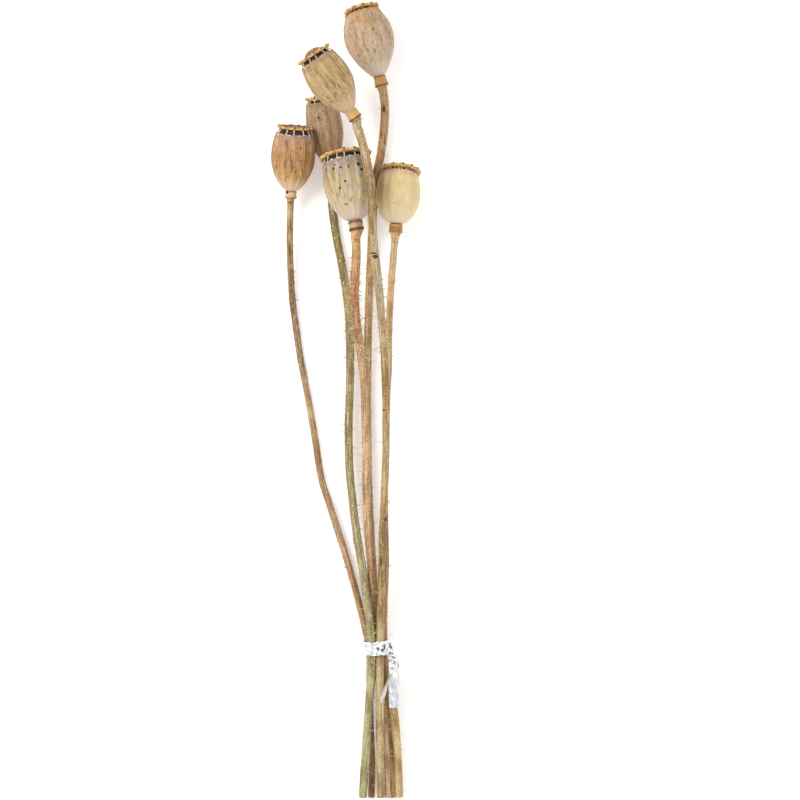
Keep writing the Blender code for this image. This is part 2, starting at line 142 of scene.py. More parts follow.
# One column a poppy. The first rows are sizes in mm and shares; roll and skew are degrees
NAMES = ("top", "leaning", "behind", "left", "front", "right")
COLUMNS = {
    "belly": (15.6, 13.3, 11.2, 13.8, 16.0, 13.9),
    "belly_at": (0.6, 0.58, 0.6, 0.57, 0.6, 0.52),
    "mouth": (10.3, 10.6, 8.8, 10.8, 14.2, 11.8),
    "lower": (0.85, 0.85, 0.8, 0.66, 0.66, 0.54),
    "upper": (0.8, 0.8, 0.8, 0.75, 0.75, 0.7),
    "disc": (11.7, 11.9, 9.8, 11.6, 16.9, 14.0),
    "crown": (1.0, 2.8, 0.8, 0.6, 1.0, 1.4),
    "carpels": (12, 13, 12, 13, 15, 14),
    "rib": (0.02, 0.035, 0.035, 0.022, 0.02, 0.016),
    "fine_ribs": (0.003, 0.008, 0.004, 0.005, 0.004, 0.002),
    "collar": (4.3, 3.9, 3.6, 3.9, 4.9, 4.4),
    "roll": (6, 0, 9, 4, 0, 8),
    "skew": (8, 0, 2, 2, 6, 14),
    "rise": (-1.2, 0.3, 1.5, 0.3, 0.2, -2.4),
    "pore": (1.5, 2.4, 1.9, 2.8, 2.8, 1.3),
    "posts": (1, 1, 1, 1, 1, 2),
    "hairs": (500, 420, 650, 520, 950, 380),
    "streaks": (0.75, 0.85, 0.6, 0.95, 0.7, 0.25),
    "seams": (0.2, 0.3, 0.15, 0.25, 0.42, 0.22),
    "specks": (0.3, 0.2, 0.3, 1.0, 0.2, 0.1),
    "bloom": ("#bfa892", "#bba27a", "#a78e78", "#b88c74", "#a99a98", "#e2cfa8"),
    "streak": ("#7f6432", "#80602e", "#684c2a", "#7a5020", "#876d36", "#b8964e"),
    "stain": ("#b07a40", "#93683e", "#86684a", "#92786e", "#7c6a6c", "#b3937a"),
    "cuff_colour": ("#c08f55", "#cda264", "#b8925e", "#d8b795", "#b59a78", "#cf9a5e"),
    "slot": ("capsule_grey_tan", "capsule_straw", "capsule_brown", "capsule_rosy_tan", "capsule_pale",
        "capsule_yellow_green"),
    "skin_slot": ("stem_tan", "stem_grey_green", "stem_olive", "stem_brown", "stem_pinkish", "stem_tan"),
}

# The rest of each poppy. A route runs from the cut end to the neck of the head: column, row and
# height in mm. A cuff is (mm below the neck, radius in mm), a cuff line (mm below the neck, half
# width in mm, strength), a mark (column, row, half width and half height in mm, colour). A stem has
# its radius in mm at the cut end, the middle and the collar, a skin its colour at rows of the picture
DRAWN = {
    "top": {
        "route": [(393.5, 797, 2.45), (389, 735, 3.6), (383, 682, 4.9), (379.5, 648, 5.2),
            (375.2, 600, 4.6), (371.3, 545, 3.6), (368.3, 480, 3.2), (367.3, 400, 3.0), (368.1, 330, 3.0),
            (369.8, 280, 2.9), (371.8, 240, 2.9), (373.2, 205, 2.9), (376.4, 175, 3.0), (380.6, 155, 3.6),
            (383.9, 130, 5.8), (384.9, 106, 9.2), (382.3, 87, 12.6), (379.3, 76.5, 14.0)],
        "tip": (361.6, 9.5, 16.6),
        "stem": (2.6, 2.5, 2.8),
        "fibre": ("#7a4a24", "#b98652", "#d9b98a"),
        "wall": ("#cfbeac", "#bfa88c", "#b59878", "#a98660", "#a67842"),
        "cuff": [(0, 3.7), (0.5, 4.0), (1.1, 3.8), (5.3, 4.2), (5.9, 4.5), (6.4, 4.2), (7, 3.1)],
        "cuff_lines": [(0.4, 0.3, 0.5), (5.95, 0.4, 0.85)],
        "skin": [(797, "#c4a26c"), (650, "#bb925c"), (520, "#b5875a"), (450, "#c6a078"), (300, "#c09a6a"),
            (190, "#aa8450"), (160, "#b58a58"), (80, "#c0986a")],
        "skin_marks": [(384.2, 109, 0.8, 2.6, "#43200f"), (381, 134, 0.4, 2.2, "#6b3d1c"),
            (384.6, 141, 0.5, 3.0, "#7a4722"), (382, 152, 0.4, 1.8, "#5c3316"),
            (386, 95, 0.4, 1.6, "#8a5a30")],
        "wall_marks": [(358, 20.5, 3.0, 1.6, "#b58750"), (352.5, 23, 1.6, 1.0, "#a87a40"),
            (365.5, 22, 1.4, 1.2, "#a87c48"), (373, 29, 0.8, 1.6, "#8f6a3e")],
    },
    "leaning": {
        "route": [(381, 797, 9.1), (380, 740, 12.4), (380, 690, 15.2), (380.2, 648, 15.5),
            (381.3, 590, 17.0), (382.4, 535, 19.0), (384.4, 495, 21.3), (386, 435, 25.0),
            (385, 370, 29.3), (381.6, 320, 33.3), (378.2, 282, 36.3), (374.5, 252, 39.0),
            (372.2, 222, 42.2), (370.4, 190, 44.6), (367, 163, 45.6), (362.4, 143, 46.0),
            (358.4, 130, 46.4), (354.6, 120, 46.8), (350.5, 111, 47.3)],
        "tip": (314.9, 56.3, 52.5),
        "stem": (2.6, 2.3, 2.8),
        "fibre": ("#a0723c", "#dcc59a", "#f0e4cc"),
        "wall": ("#cfb08a", "#b99868", "#b1925f", "#ab8956", "#a27c4c"),
        "cuff": [(0, 3.6), (0.5, 4.0), (1.1, 3.9), (4.7, 4.2), (5.2, 4.5), (5.7, 4.1), (6.4, 3.2)],
        "cuff_lines": [(0.4, 0.25, 0.35), (5.3, 0.5, 0.95)],
        "skin": [(797, "#c0a87a"), (690, "#bca576"), (610, "#a98a56"), (565, "#8f6c34"), (520, "#8c6934"),
            (490, "#b08c5a"), (450, "#b08f5e"), (400, "#a88654"), (372, "#9c7c46"), (335, "#ac926a"),
            (280, "#ab9878"), (230, "#a68758"), (190, "#8f6e3c"), (160, "#a88c66"), (110, "#b89a6e")],
        "skin_marks": [(373.4, 253.2, 2.4, 0.7, "#2a1a10"), (375.2, 256.6, 1.8, 1.4, "#1e120c"),
            (383.8, 410, 0.7, 0.9, "#3a2414"), (386, 519, 0.8, 1.3, "#2c1c12"),
            (380.8, 562, 0.7, 3.2, "#4a3018"), (383.5, 577, 0.8, 3.2, "#8a8c42"),
            (385.6, 375, 0.6, 5.0, "#8a6a38")],
        "spur": ([(366.5, 153, 45.6), (368.6, 152.8, 46), (370.6, 151.9, 46.4), (372, 150.4, 46.8)],
            [1.1, 0.9, 0.6, 0.25], "#a8743f"),
    },
    "behind": {
        "route": [(362.7, 797, 8.6), (367.5, 727, 12.0), (370.7, 682, 14.4), (371.4, 648, 15.2),
            (369.2, 618, 15.2), (363.2, 573, 13.3), (356.4, 532, 11.3), (351.9, 495, 9.6),
            (349.1, 462, 8.5), (348.6, 425, 7.5), (349.8, 385, 6.6), (350, 345, 5.8), (347.8, 305, 4.8),
            (342.8, 270, 4.0), (336.4, 237, 3.3), (332.6, 210, 3.2), (331.6, 190, 3.9), (331.4, 176, 5.3),
            (331.3, 166, 6.6)],
        "tip": (320.5, 101.5, 14.8),
        "stem": (2.7, 2.6, 2.7),
        "fibre": ("#7a4f2a", "#c9a878", "#e6d3ae"),
        "wall": ("#a68a70", "#b59068", "#a58459", "#a2825e", "#9c7e5a"),
        "cuff": [(0, 3.2), (0.5, 3.6), (1.1, 3.5), (4.2, 3.7), (4.7, 3.9), (5.2, 3.5), (6.2, 2.9)],
        "cuff_lines": [(0.4, 0.25, 0.4), (4.75, 0.3, 0.8)],
        "skin": [(797, "#9c9a68"), (740, "#a5a070"), (690, "#959264"), (560, "#949060"), (440, "#928a5a"),
            (300, "#8e8454"), (250, "#827a40"), (212, "#6c6030"), (185, "#a8906a")],
        "skin_marks": [(333, 226, 0.3, 0.8, "#d8cf9a"), (334.6, 238, 0.3, 0.9, "#dcd3a2"),
            (337, 246, 0.35, 0.8, "#d8cf9a"), (339.5, 261, 0.3, 0.9, "#dcd3a2"),
            (343.6, 283, 0.3, 0.8, "#d8cf9a"), (346.5, 296, 0.3, 1.0, "#dcd3a2"),
            (353, 512, 0.3, 0.8, "#d8cf9a"), (356.4, 530, 0.3, 0.8, "#dcd3a2"),
            (365, 584, 0.3, 0.9, "#dcd3a2"), (372, 662, 0.3, 0.8, "#dcd3a2")],
        "wall_marks": [(318.6, 117.7, 0.9, 1.0, "#2f1c10"), (322.4, 110.8, 0.5, 0.6, "#3a2414"),
            (320.5, 119.5, 1.6, 0.9, "#8a6238")],
    },
    "left": {
        "route": [(371.4, 797, 2.1), (371.8, 765, 2.9), (370, 715, 4.3), (369.6, 685, 5.0),
            (369.6, 652, 5.2), (365.4, 630, 4.9), (357.5, 598, 4.4), (347, 560, 3.8), (337.5, 530, 3.4),
            (328, 500, 3.2), (321.2, 478, 3.0), (315.3, 440, 2.8), (308.4, 400, 2.6), (300.8, 360, 2.1),
            (296, 327, 2.7), (292, 295, 4.2), (289.9, 250, 7.4), (290.2, 215, 10.6), (290.6, 198, 12.2),
            (291, 190.8, 12.9)],
        "tip": (294.7, 129.5, 23.2),
        "stem": (2.2, 2.2, 2.1),
        "fibre": ("#b08a5a", "#e6d8ba", "#f6eeda"),
        "wall": ("#dcbf9f", "#bd9050", "#ab783a", "#ad7a40", "#9c7c6c"),
        "cuff": [(0, 3.3), (0.4, 3.6), (0.9, 3.5), (3.3, 3.55), (3.7, 3.8), (4.2, 3.9), (4.6, 3.5),
            (5.3, 2.6)],
        "cuff_lines": [(0.4, 0.2, 0.45), (3.5, 0.25, 0.5), (4.3, 0.3, 0.9)],
        "skin": [(797, "#94683e"), (690, "#8a6238"), (610, "#b68c64"), (540, "#ae8560"), (450, "#9c7650"),
            (400, "#a98662"), (345, "#785636"), (290, "#7b5430"), (240, "#8c6640"), (215, "#a67e52"),
            (195, "#b8905f")],
        "skin_marks": [(286.9, 192.3, 1.2, 1.2, "#0f0b08"), (291, 226, 0.4, 3.5, "#6a431f"),
            (289.5, 250, 0.4, 5.0, "#5e3a1c"), (290.6, 285, 0.35, 5.0, "#6a4524"),
            (293, 312, 0.35, 4.0, "#6a4524")],
        "wall_marks": [(301, 148, 0.6, 0.8, "#5a3818"), (296, 171, 0.5, 0.7, "#6a4420")],
    },
    "front": {
        "route": [(388, 797, 6.5), (385, 735, 8.3), (380, 688, 9.8), (375.3, 648, 10.2),
            (373.6, 610, 10.3), (371.2, 565, 11.0), (368.3, 530, 12.2), (366.6, 490, 13.6),
            (366.2, 440, 15.6), (365, 395, 18.0), (362.4, 362, 20.0), (358.2, 337, 21.7),
            (354.8, 307, 23.8), (354.8, 283, 25.6), (356, 258, 27.6), (356.1, 245, 28.5),
            (355.4, 232, 29.3), (355.2, 221, 29.9)],
        "tip": (345.6, 158.0, 28.0),
        "stem": (2.2, 2.8, 2.9),
        "fibre": ("#94683a", "#dcc8a2", "#f2e8d0"),
        "wall": ("#d4bfae", "#c4b08a", "#bba571", "#9e8760", "#8a7664"),
        "cuff": [(0, 4.3), (0.5, 4.9), (1.3, 4.9), (1.8, 4.4), (2.4, 4.5), (4.6, 4.6), (5.2, 4.95),
            (5.8, 4.7), (6.4, 4.2), (7, 3.7)],
        "cuff_lines": [(0.9, 0.7, 0.75), (5.5, 0.9, 0.95)],
        "skin": [(797, "#b88c60"), (690, "#c09a6c"), (600, "#a27a4c"), (545, "#b68a5e"), (510, "#cda67c"),
            (450, "#d0a882"), (400, "#b88a66"), (350, "#bc8c64"), (312, "#ae6f48"), (280, "#bb7c50"),
            (250, "#c4935a"), (222, "#cf9f70")],
        "skin_marks": [(354.5, 240, 0.3, 2.2, "#8a5226"), (356.6, 240, 0.3, 1.8, "#8a5226"),
            (355.2, 292, 0.6, 6.0, "#9c4f2a")],
        "wall_marks": [(333.5, 168.7, 0.9, 1.0, "#22160e"), (334.6, 164.8, 0.6, 0.8, "#2a1c12"),
            (340.5, 167.3, 1.1, 0.6, "#2a1c12"), (345, 181, 0.8, 0.8, "#2a1a10"),
            (339.8, 187.6, 0.8, 0.8, "#2a1a10"), (346, 204, 1.2, 0.5, "#5c564e"),
            (358.4, 164, 1.3, 1.2, "#1e130c"), (361.6, 169.2, 1.2, 1.1, "#22160e"),
            (326.5, 170, 0.5, 1.0, "#4a3824"), (348.5, 166.5, 0.5, 1.4, "#4a3a3a"),
            (330, 186, 0.4, 0.5, "#5a4630")],
    },
    "right": {
        "route": [(399.4, 797, 6.6), (398.2, 762, 6.7), (395.3, 720, 8.4), (390.4, 685, 9.3),
            (384.4, 648, 10.2), (384.2, 605, 10.6), (385.6, 560, 11.0), (384.8, 510, 11.5),
            (385.6, 450, 12.2), (386.6, 405, 12.8), (388.4, 370, 13.2), (389.2, 325, 13.6),
            (391.2, 285, 13.8), (393.2, 258, 14.0), (394.8, 240, 14.0), (395.4, 233, 14.0),
            (396, 224, 13.9)],
        "tip": (399.6, 169.5, 13.9),
        "stem": (2.5, 2.15, 2.25),
        "fibre": ("#84552a", "#c49a66", "#e8d2a8"),
        "wall": ("#e8d4b6", "#e0cb9a", "#d9c18b", "#dabf82", "#d8b684"),
        "cuff": [(0, 3.7), (0.4, 4.3), (1.9, 4.4), (2.3, 4.0), (2.8, 4.4), (3.3, 4.05), (3.8, 4.45),
            (4.3, 4.1), (4.8, 4.6), (5.2, 4.3), (5.8, 3.7), (7, 3.2)],
        "cuff_lines": [(0.3, 0.25, 0.6), (2.3, 0.25, 0.6), (3.35, 0.25, 0.6), (4.35, 0.25, 0.6),
            (5.3, 0.25, 0.5)],
        "skin": [(797, "#c8a26c"), (700, "#c7a06c"), (600, "#ac8a58"), (540, "#94744a"), (480, "#b08c5e"),
            (330, "#c6a074"), (290, "#d4ae80"), (224, "#dab488")],
        "skin_marks": [(394.5, 241.8, 0.45, 0.6, "#4a2810"), (399.3, 234, 0.35, 0.5, "#7a4a22"),
            (392, 268, 0.3, 1.2, "#a8743c")],
        "wall_marks": [(394.3, 202.6, 0.3, 0.5, "#6a4a24")],
    },
}

# Painted shade on the foil, in its creases and round its twist, and a few dark dots, as the marks above
FOIL_SHADE_MARKS = [(380, 641.5, 1.8, 0.6, "#3a3a40"), (378, 649, 1.1, 1.1, "#4a4a52"),
    (382.5, 650.5, 1.0, 1.4, "#303036"), (384.5, 647.5, 0.7, 1.8, "#44444c"),
    (381, 655.5, 1.1, 0.5, "#55555c"), (377, 654, 0.5, 0.6, "#6a6a72"), (365.4, 647, 0.6, 0.5, "#55555c"),
    (391.6, 647.5, 1.5, 1.1, "#3c3c42"), (394, 652, 1.6, 1.2, "#34343a"),
    (396.5, 656, 1.0, 1.4, "#4a4a50"), (390.3, 645.5, 1.0, 1.2, "#4a4a52"),
    (397.2, 650.5, 0.8, 0.8, "#3c3c42"), (389.8, 652.5, 0.5, 1.6, "#6a6a70"),
    (392.5, 657, 0.8, 0.8, "#55555c"), (400.2, 666, 0.5, 1.8, "#55555c"),
    (394.5, 662, 0.4, 2.4, "#8c8c92"), (373, 642.3, 4.0, 0.25, "#8a8a90"),
    (370, 655, 2.5, 0.2, "#a0a0a6"), (392.3, 668.4, 1.0, 0.7, "#8c8c92"),
    (380.3, 700.3, 0.45, 0.45, "#3a2e28"), (395.3, 701, 0.35, 0.45, "#6a6a70")]


def poppies():
    """Each poppy's numbers, colours and lines under its name."""
    for i, name in enumerate(NAMES):
        yield name, DRAWN[name] | {key: row[i] for key, row in COLUMNS.items()}


POPPIES = dict(poppies())


def placed(column, row, height):
    """The point in metres that the picture shows at this column and row, at this height."""
    shrink = 1 - height / VIEW_HEIGHT
    x = MIDDLE_X + (column - PICTURE_MIDDLE) * PICTURE_SCALE * shrink
    y = MIDDLE_Y + (PICTURE_MIDDLE - row) * PICTURE_SCALE * shrink
    return Vector((x, y, height)) * MM


def linear(colour):
    """An sRGB hex colour as linear RGBA."""
    parts = [int(colour[i:i + 2], 16) / 255 for i in (1, 3, 5)]
    return (*(p / 12.92 if p <= 0.04045 else ((p + 0.055) / 1.055) ** 2.4 for p in parts), 1)


def put(tree, socket, value):
    """Gives a socket another's output, the colour of a hex string, or a plain value."""
    if isinstance(value, bpy.types.NodeSocket):
        tree.links.new(value, socket)
    elif isinstance(value, str) and value.startswith("#"):
        socket.default_value = linear(value)
    else:
        socket.default_value = value


def add(tree, kind, inputs=(), out=0, **settings):
    """Adds a node and gives one of its outputs.

    A kind is a node's own name, or that with what the node works out. Inputs are in order, or
    under their names.
    """
    if isinstance(kind, tuple):
        kind, settings["operation"] = kind
    node = tree.nodes.new(kind)
    for name, value in settings.items():
        setattr(node, name, value)
    for key, value in inputs.items() if isinstance(inputs, dict) else enumerate(inputs):
        put(tree, node.inputs[key], value)
    return node.outputs[out] if node.outputs else None


# Shapes that several pieces share


def smooth_step(low, high, value):
    share = min(max((value - low) / (high - low), 0), 1)
    return share * share * (3 - 2 * share)


def smooth_route(route, step):
    """Points about a step apart on the smooth curve through the route's own points."""
    knots = [placed(*point) for point in route]
    knots = [2 * knots[0] - knots[1], *knots, 2 * knots[-1] - knots[-2]]
    fine = []
    for a, b, c, d in zip(knots, knots[1:], knots[2:], knots[3:]):
        for i in range(24):
            t = i / 24
            fine.append(0.5 * (2 * b + (c - a) * t + (2 * a - 5 * b + 4 * c - d) * t * t
                               + (3 * b - a - 3 * c + d) * t ** 3))
    fine.append(knots[-2])
    lengths = [0.0]
    for a, b in zip(fine, fine[1:]):
        lengths.append(lengths[-1] + (b - a).length)
    count = max(2, round(lengths[-1] / (step * MM)))
    points = []
    at = 0
    for i in range(count + 1):
        wanted = lengths[-1] * i / count
        while at < len(lengths) - 2 and lengths[at + 1] < wanted:
            at += 1
        share = (wanted - lengths[at]) / (lengths[at + 1] - lengths[at])
        points.append(fine[at].lerp(fine[at + 1], share))
    return points


def head_axis(poppy):
    return (placed(*poppy["tip"]) - placed(*poppy["route"][-1])).normalized()


def head_matrix(poppy, along):
    """Places a mesh whose own +Z is the head's axis, this many mm past the neck."""
    axis = head_axis(poppy)
    turn = axis.to_track_quat("Z", "X").to_matrix().to_4x4()
    roll = Matrix.Rotation(math.radians(poppy["roll"]), 4, "Z")
    return Matrix.Translation(placed(*poppy["route"][-1]) + axis * along * MM) @ turn @ roll


def capsule_length(poppy):
    """From the capsule's foot to the tops of its pillars, in mm."""
    neck = placed(*poppy["route"][-1])
    return (placed(*poppy["tip"]) - neck).length / MM - 2 * GAP


def stem_radius(poppy, share):
    """Stem radius in mm, from the cut end (share 0) through the middle to the collar (share 1)."""
    foot, middle, head = poppy["stem"]
    if share < 0.5:
        return foot + (middle - foot) * share * 2
    return middle + (head - middle) * (share - 0.5) * 2


def capsule_radius(poppy, share):
    """Outer radius in mm between the neck (share 0) and the mouth under the disc (share 1)."""
    neck = poppy["collar"] * NECK_SHARE
    belly = poppy["belly"]
    at = poppy["belly_at"]
    if share < at:
        rise = math.sin(math.pi / 2 * share / at) ** poppy["lower"]
        return neck + (belly - neck) * rise
    fall = math.cos(math.pi / 2 * (share - at) / (1 - at)) ** poppy["upper"]
    return poppy["mouth"] + (belly - poppy["mouth"]) * fall


def path_object(name, points, radii):
    """A curve through points in metres, with its radius in mm at each."""
    curve = bpy.data.curves.new(name, "CURVE")
    curve.dimensions = "3D"
    spline = curve.splines.new("POLY")
    spline.points.add(len(points) - 1)
    for point, place, radius in zip(spline.points, points, radii):
        point.co = (*place, 1)
        point.radius = radius
    return plain_object(name, curve)


def profile_object(name, outline, radii=None):
    """A curve in a head's own frame, from (radius, height) pairs in mm."""
    points = [Vector((radius, 0, height)) * MM for radius, height in outline]
    return path_object(name, points, radii or [1] * len(points))


def plain_object(name, data):
    item = bpy.data.objects.new(name, data)
    bpy.context.scene.collection.objects.link(item)
    return item


def grown(name, source, tree, values):
    """The tree's result on the source, as a plain mesh object; the source is removed.

    An input without a value here keeps its usual one.
    """
    step = source.modifiers.new(tree.name, "NODES")
    step.node_group = tree
    for socket in tree.interface.items_tree:
        if socket.in_out == "INPUT" and socket.name != "Geometry":
            step[socket.identifier] = values.get(socket.name, socket.default_value)
    bpy.context.view_layer.update()
    graph = bpy.context.evaluated_depsgraph_get()
    mesh = bpy.data.meshes.new_from_object(source.evaluated_get(graph))
    bpy.data.objects.remove(source)
    mesh.name = name
    return plain_object(name, mesh)


def finished(piece, slot, *nodes):
    """The piece moves with the bunch and, where nodes are given, stands for them.

    Where it lies on the surface it is flat, as the solids are.
    """
    for vertex in piece.data.vertices:
        vertex.co.z = max(vertex.co.z, 0)
    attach(piece, "root")
    if nodes:
        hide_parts(*nodes)


# Geometry trees


def shape_tree(name, sizes, finish):
    """A new geometry tree with its named inputs, and their sockets.

    Sizes holds the usual value of each: whole numbers are counts, the others have a point, and
    0 or 0.0 stands where each piece gives its own. Finish is the name of the material's input.
    """
    tree = bpy.data.node_groups.new(name, "GeometryNodeTree")
    kinds = {int: "NodeSocketInt", float: "NodeSocketFloat"}
    tree.interface.new_socket("Geometry", in_out="INPUT", socket_type="NodeSocketGeometry")
    for label, usual in sizes.items():
        kind = kinds[type(usual)]
        tree.interface.new_socket(label, in_out="INPUT", socket_type=kind).default_value = usual
    tree.interface.new_socket(finish, in_out="INPUT", socket_type="NodeSocketMaterial")
    tree.interface.new_socket("Geometry", in_out="OUTPUT", socket_type="NodeSocketGeometry")
    return tree, tree.nodes.new("NodeGroupInput").outputs


def end_tree(tree, geometry, material, smooth=True):
    if smooth:
        geometry = add(tree, "GeometryNodeSetShadeSmooth", {"Geometry": geometry})
    geometry = add(tree, "GeometryNodeRealizeInstances", {"Geometry": geometry})
    geometry = add(tree, "GeometryNodeSetMaterial", {"Geometry": geometry, "Material": material})
    add(tree, "NodeGroupOutput", {"Geometry": geometry})
    return tree


def window(tree, value, low, high, most=1.0):
    """Rises smoothly from 0 at low to most at high, and stays there."""
    return add(tree, "ShaderNodeMapRange",
               {"Value": value, "From Min": low, "From Max": high, "To Max": most},
               interpolation_type="SMOOTHSTEP")


def stem_tree():
    """A fluted tube along a curve. It keeps each point's place on the unbent stem."""
    tree, given = shape_tree("fluted stem", {
        "Sides": STEM_SIDES, "Flutes": 9.0, "Flute depth": FLUTE_DEPTH * MM,
        "Unevenness": 0.5 * MM}, "Skin")
    here = add(tree, "GeometryNodeSplineParameter", out="Length")
    whole = add(tree, "GeometryNodeSplineLength", out="Length")
    below = add(tree, MINUS, (whole, here))
    girth = add(tree, TIMES, (add(tree, "GeometryNodeInputRadius"), MM))
    path = add(tree, STORE, {"Geometry": given["Geometry"], "Name": "below", "Value": below})
    path = add(tree, STORE, {"Geometry": path, "Name": "girth", "Value": girth})
    ring = add(tree, CIRCLE, {"Resolution": given["Sides"], "Radius": 1})
    ring = add(tree, STORE, {"Geometry": ring, "Name": "side", "Value": add(tree, PLACE)},
               data_type="FLOAT_VECTOR")
    tube = add(tree, SWEEP, {"Curve": path, "Profile Curve": ring, "Scale": girth,
                             "Fill Caps": True})
    side = add(tree, STORED, {"Name": "side"}, data_type="FLOAT_VECTOR")
    across = add(tree, V_SCALE, {0: side, "Scale": add(tree, STORED, {"Name": "girth"})})
    length = add(tree, JOIN, {"Z": add(tree, STORED, {"Name": "below"})})
    unbent = add(tree, V_PLUS, (across, length))
    tube = add(tree, STORE, {"Geometry": tube, "Name": "unbent", "Value": unbent},
               data_type="FLOAT_VECTOR")
    parts = add(tree, SPLIT, (side,)).node.outputs
    angle = add(tree, ARCTAN2, (parts["Y"], parts["X"]))
    turns = add(tree, TIMES, (angle, given["Flutes"]))
    flute = add(tree, COSINE, (turns,))
    flute = add(tree, TIMES, (flute, given["Flute depth"]))
    # The unevenness is four times as long as it is wide
    stretched = add(tree, V_TIMES, (unbent, (1, 1, 0.25)))
    waves = add(tree, NOISE, {"Vector": stretched, "Scale": 420, "Detail": 3})
    waves = add(tree, MINUS, (waves, 0.5))
    waves = add(tree, TIMES_PLUS, (waves, given["Unevenness"], flute))
    push = add(tree, V_SCALE, {0: add(tree, "GeometryNodeInputNormal"), "Scale": waves})
    tube = add(tree, MOVE, {"Geometry": tube, "Offset": push})
    return end_tree(tree, tube, given["Skin"])


def turned_grid(tree, given):
    """A grid of places, and on it the angle, radius and height that the profile curve gives."""
    grid = add(tree, "GeometryNodeMeshGrid", {
        "Size X": 1, "Size Y": 1, "Vertices X": given["Columns"], "Vertices Y": given["Rows"]})
    at = add(tree, SPLIT, (add(tree, PLACE),)).node.outputs
    turn = add(tree, PLUS, (at["X"], 0.5))
    angle = add(tree, TIMES, (turn, FULL_TURN))
    along = add(tree, PLUS, (at["Y"], 0.5))
    place = add(tree, "GeometryNodeSampleCurve", {"Curves": given["Geometry"], "Factor": along},
                "Position", use_all_curves=True)
    place = add(tree, SPLIT, (place,)).node.outputs
    return grid, angle, place["X"], place["Z"]


def from_crest(tree, angle, carpels):
    """Distance from the nearest rib's crest as a share of the space between ribs, 0 to 0.5."""
    turns = add(tree, TIMES, (angle, carpels))
    turns = add(tree, OVER, (turns, FULL_TURN))
    return add(tree, PINGPONG, (turns, 0.5))


def rolled(tree, angle, radius, height):
    """The place at this angle, radius and height round the axis."""
    x = add(tree, TIMES, (add(tree, COSINE, (angle,)), radius))
    y = add(tree, TIMES, (add(tree, SINE, (angle,)), radius))
    return add(tree, JOIN, (x, y, height))


def turned_surface(tree, grid, angle, radius, height, material):
    """Rolls the grid up, closes its seam and poles, and keeps each place in the head's own frame."""
    surface = add(tree, MOVE, {"Geometry": grid, "Position": rolled(tree, angle, radius, height)})
    surface = add(tree, "GeometryNodeMergeByDistance", {"Geometry": surface,
                                                        "Distance": 0.002 * MM})
    surface = add(tree, STORE, {"Geometry": surface, "Name": "head", "Value": add(tree, PLACE)},
                  data_type="FLOAT_VECTOR")
    return end_tree(tree, surface, material)


def uneven(tree, place, scale, depth):
    """A soft unevenness of the turned form, the same each run."""
    waves = add(tree, NOISE, {"Vector": place, "Scale": scale, "Detail": 3})
    waves = add(tree, MINUS, (waves, 0.5))
    return add(tree, TIMES, (waves, depth))


def capsule_tree():
    """Turns a profile curve into a capsule: ribs, a pleated foot, and a double line on each rib."""
    tree, given = shape_tree("ribbed capsule wall", {
        "Columns": 0, "Rows": WALL_ROWS, "Carpels": 0, "Rib swell": 0.0, "Fine ribs": 0.0,
        "Foot pleats": 0.04, "Seam height": SEAM_HEIGHT * MM, "Dent depth": DENT_DEPTH * MM,
        "Length": 0.0}, "Wall")
    grid, angle, radius, height = turned_grid(tree, given)
    share = add(tree, OVER, (height, given["Length"]), use_clamp=True)
    arch = add(tree, TIMES, (share, math.pi))
    arch = add(tree, SINE, (arch,), use_clamp=True)
    swell = add(tree, POWER, (arch, 0.5))
    swell = add(tree, TIMES, (swell, given["Rib swell"]))
    # The foot's pleats die away upwards
    pleat = add(tree, TIMES, (share, -9))
    pleat = add(tree, EXPONENT, (pleat,))
    swell = add(tree, TIMES_PLUS, (pleat, given["Foot pleats"], swell))
    wave = add(tree, TIMES, (angle, given["Carpels"]))
    wave = add(tree, COSINE, (wave,))
    fine = add(tree, POWER, (wave, 2))
    fine = add(tree, TIMES_PLUS, (fine, given["Fine ribs"], 1))
    wave = add(tree, TIMES_PLUS, (wave, swell, fine))
    ribbed = add(tree, TIMES, (radius, wave))
    crest = from_crest(tree, angle, given["Carpels"])
    seam = add(tree, MINUS, (crest, SEAM_PLACE))
    seam = add(tree, ABSOLUTE, (seam,))
    seam = add(tree, TIMES, (window(tree, seam, 0.06, 0), arch))
    ribbed = add(tree, TIMES_PLUS, (seam, given["Seam height"], ribbed))
    dents = uneven(tree, rolled(tree, angle, radius, height), 160, given["Dent depth"])
    ribbed = add(tree, TIMES_PLUS, (dents, arch, ribbed))
    return turned_surface(tree, grid, angle, ribbed, height, given["Wall"])


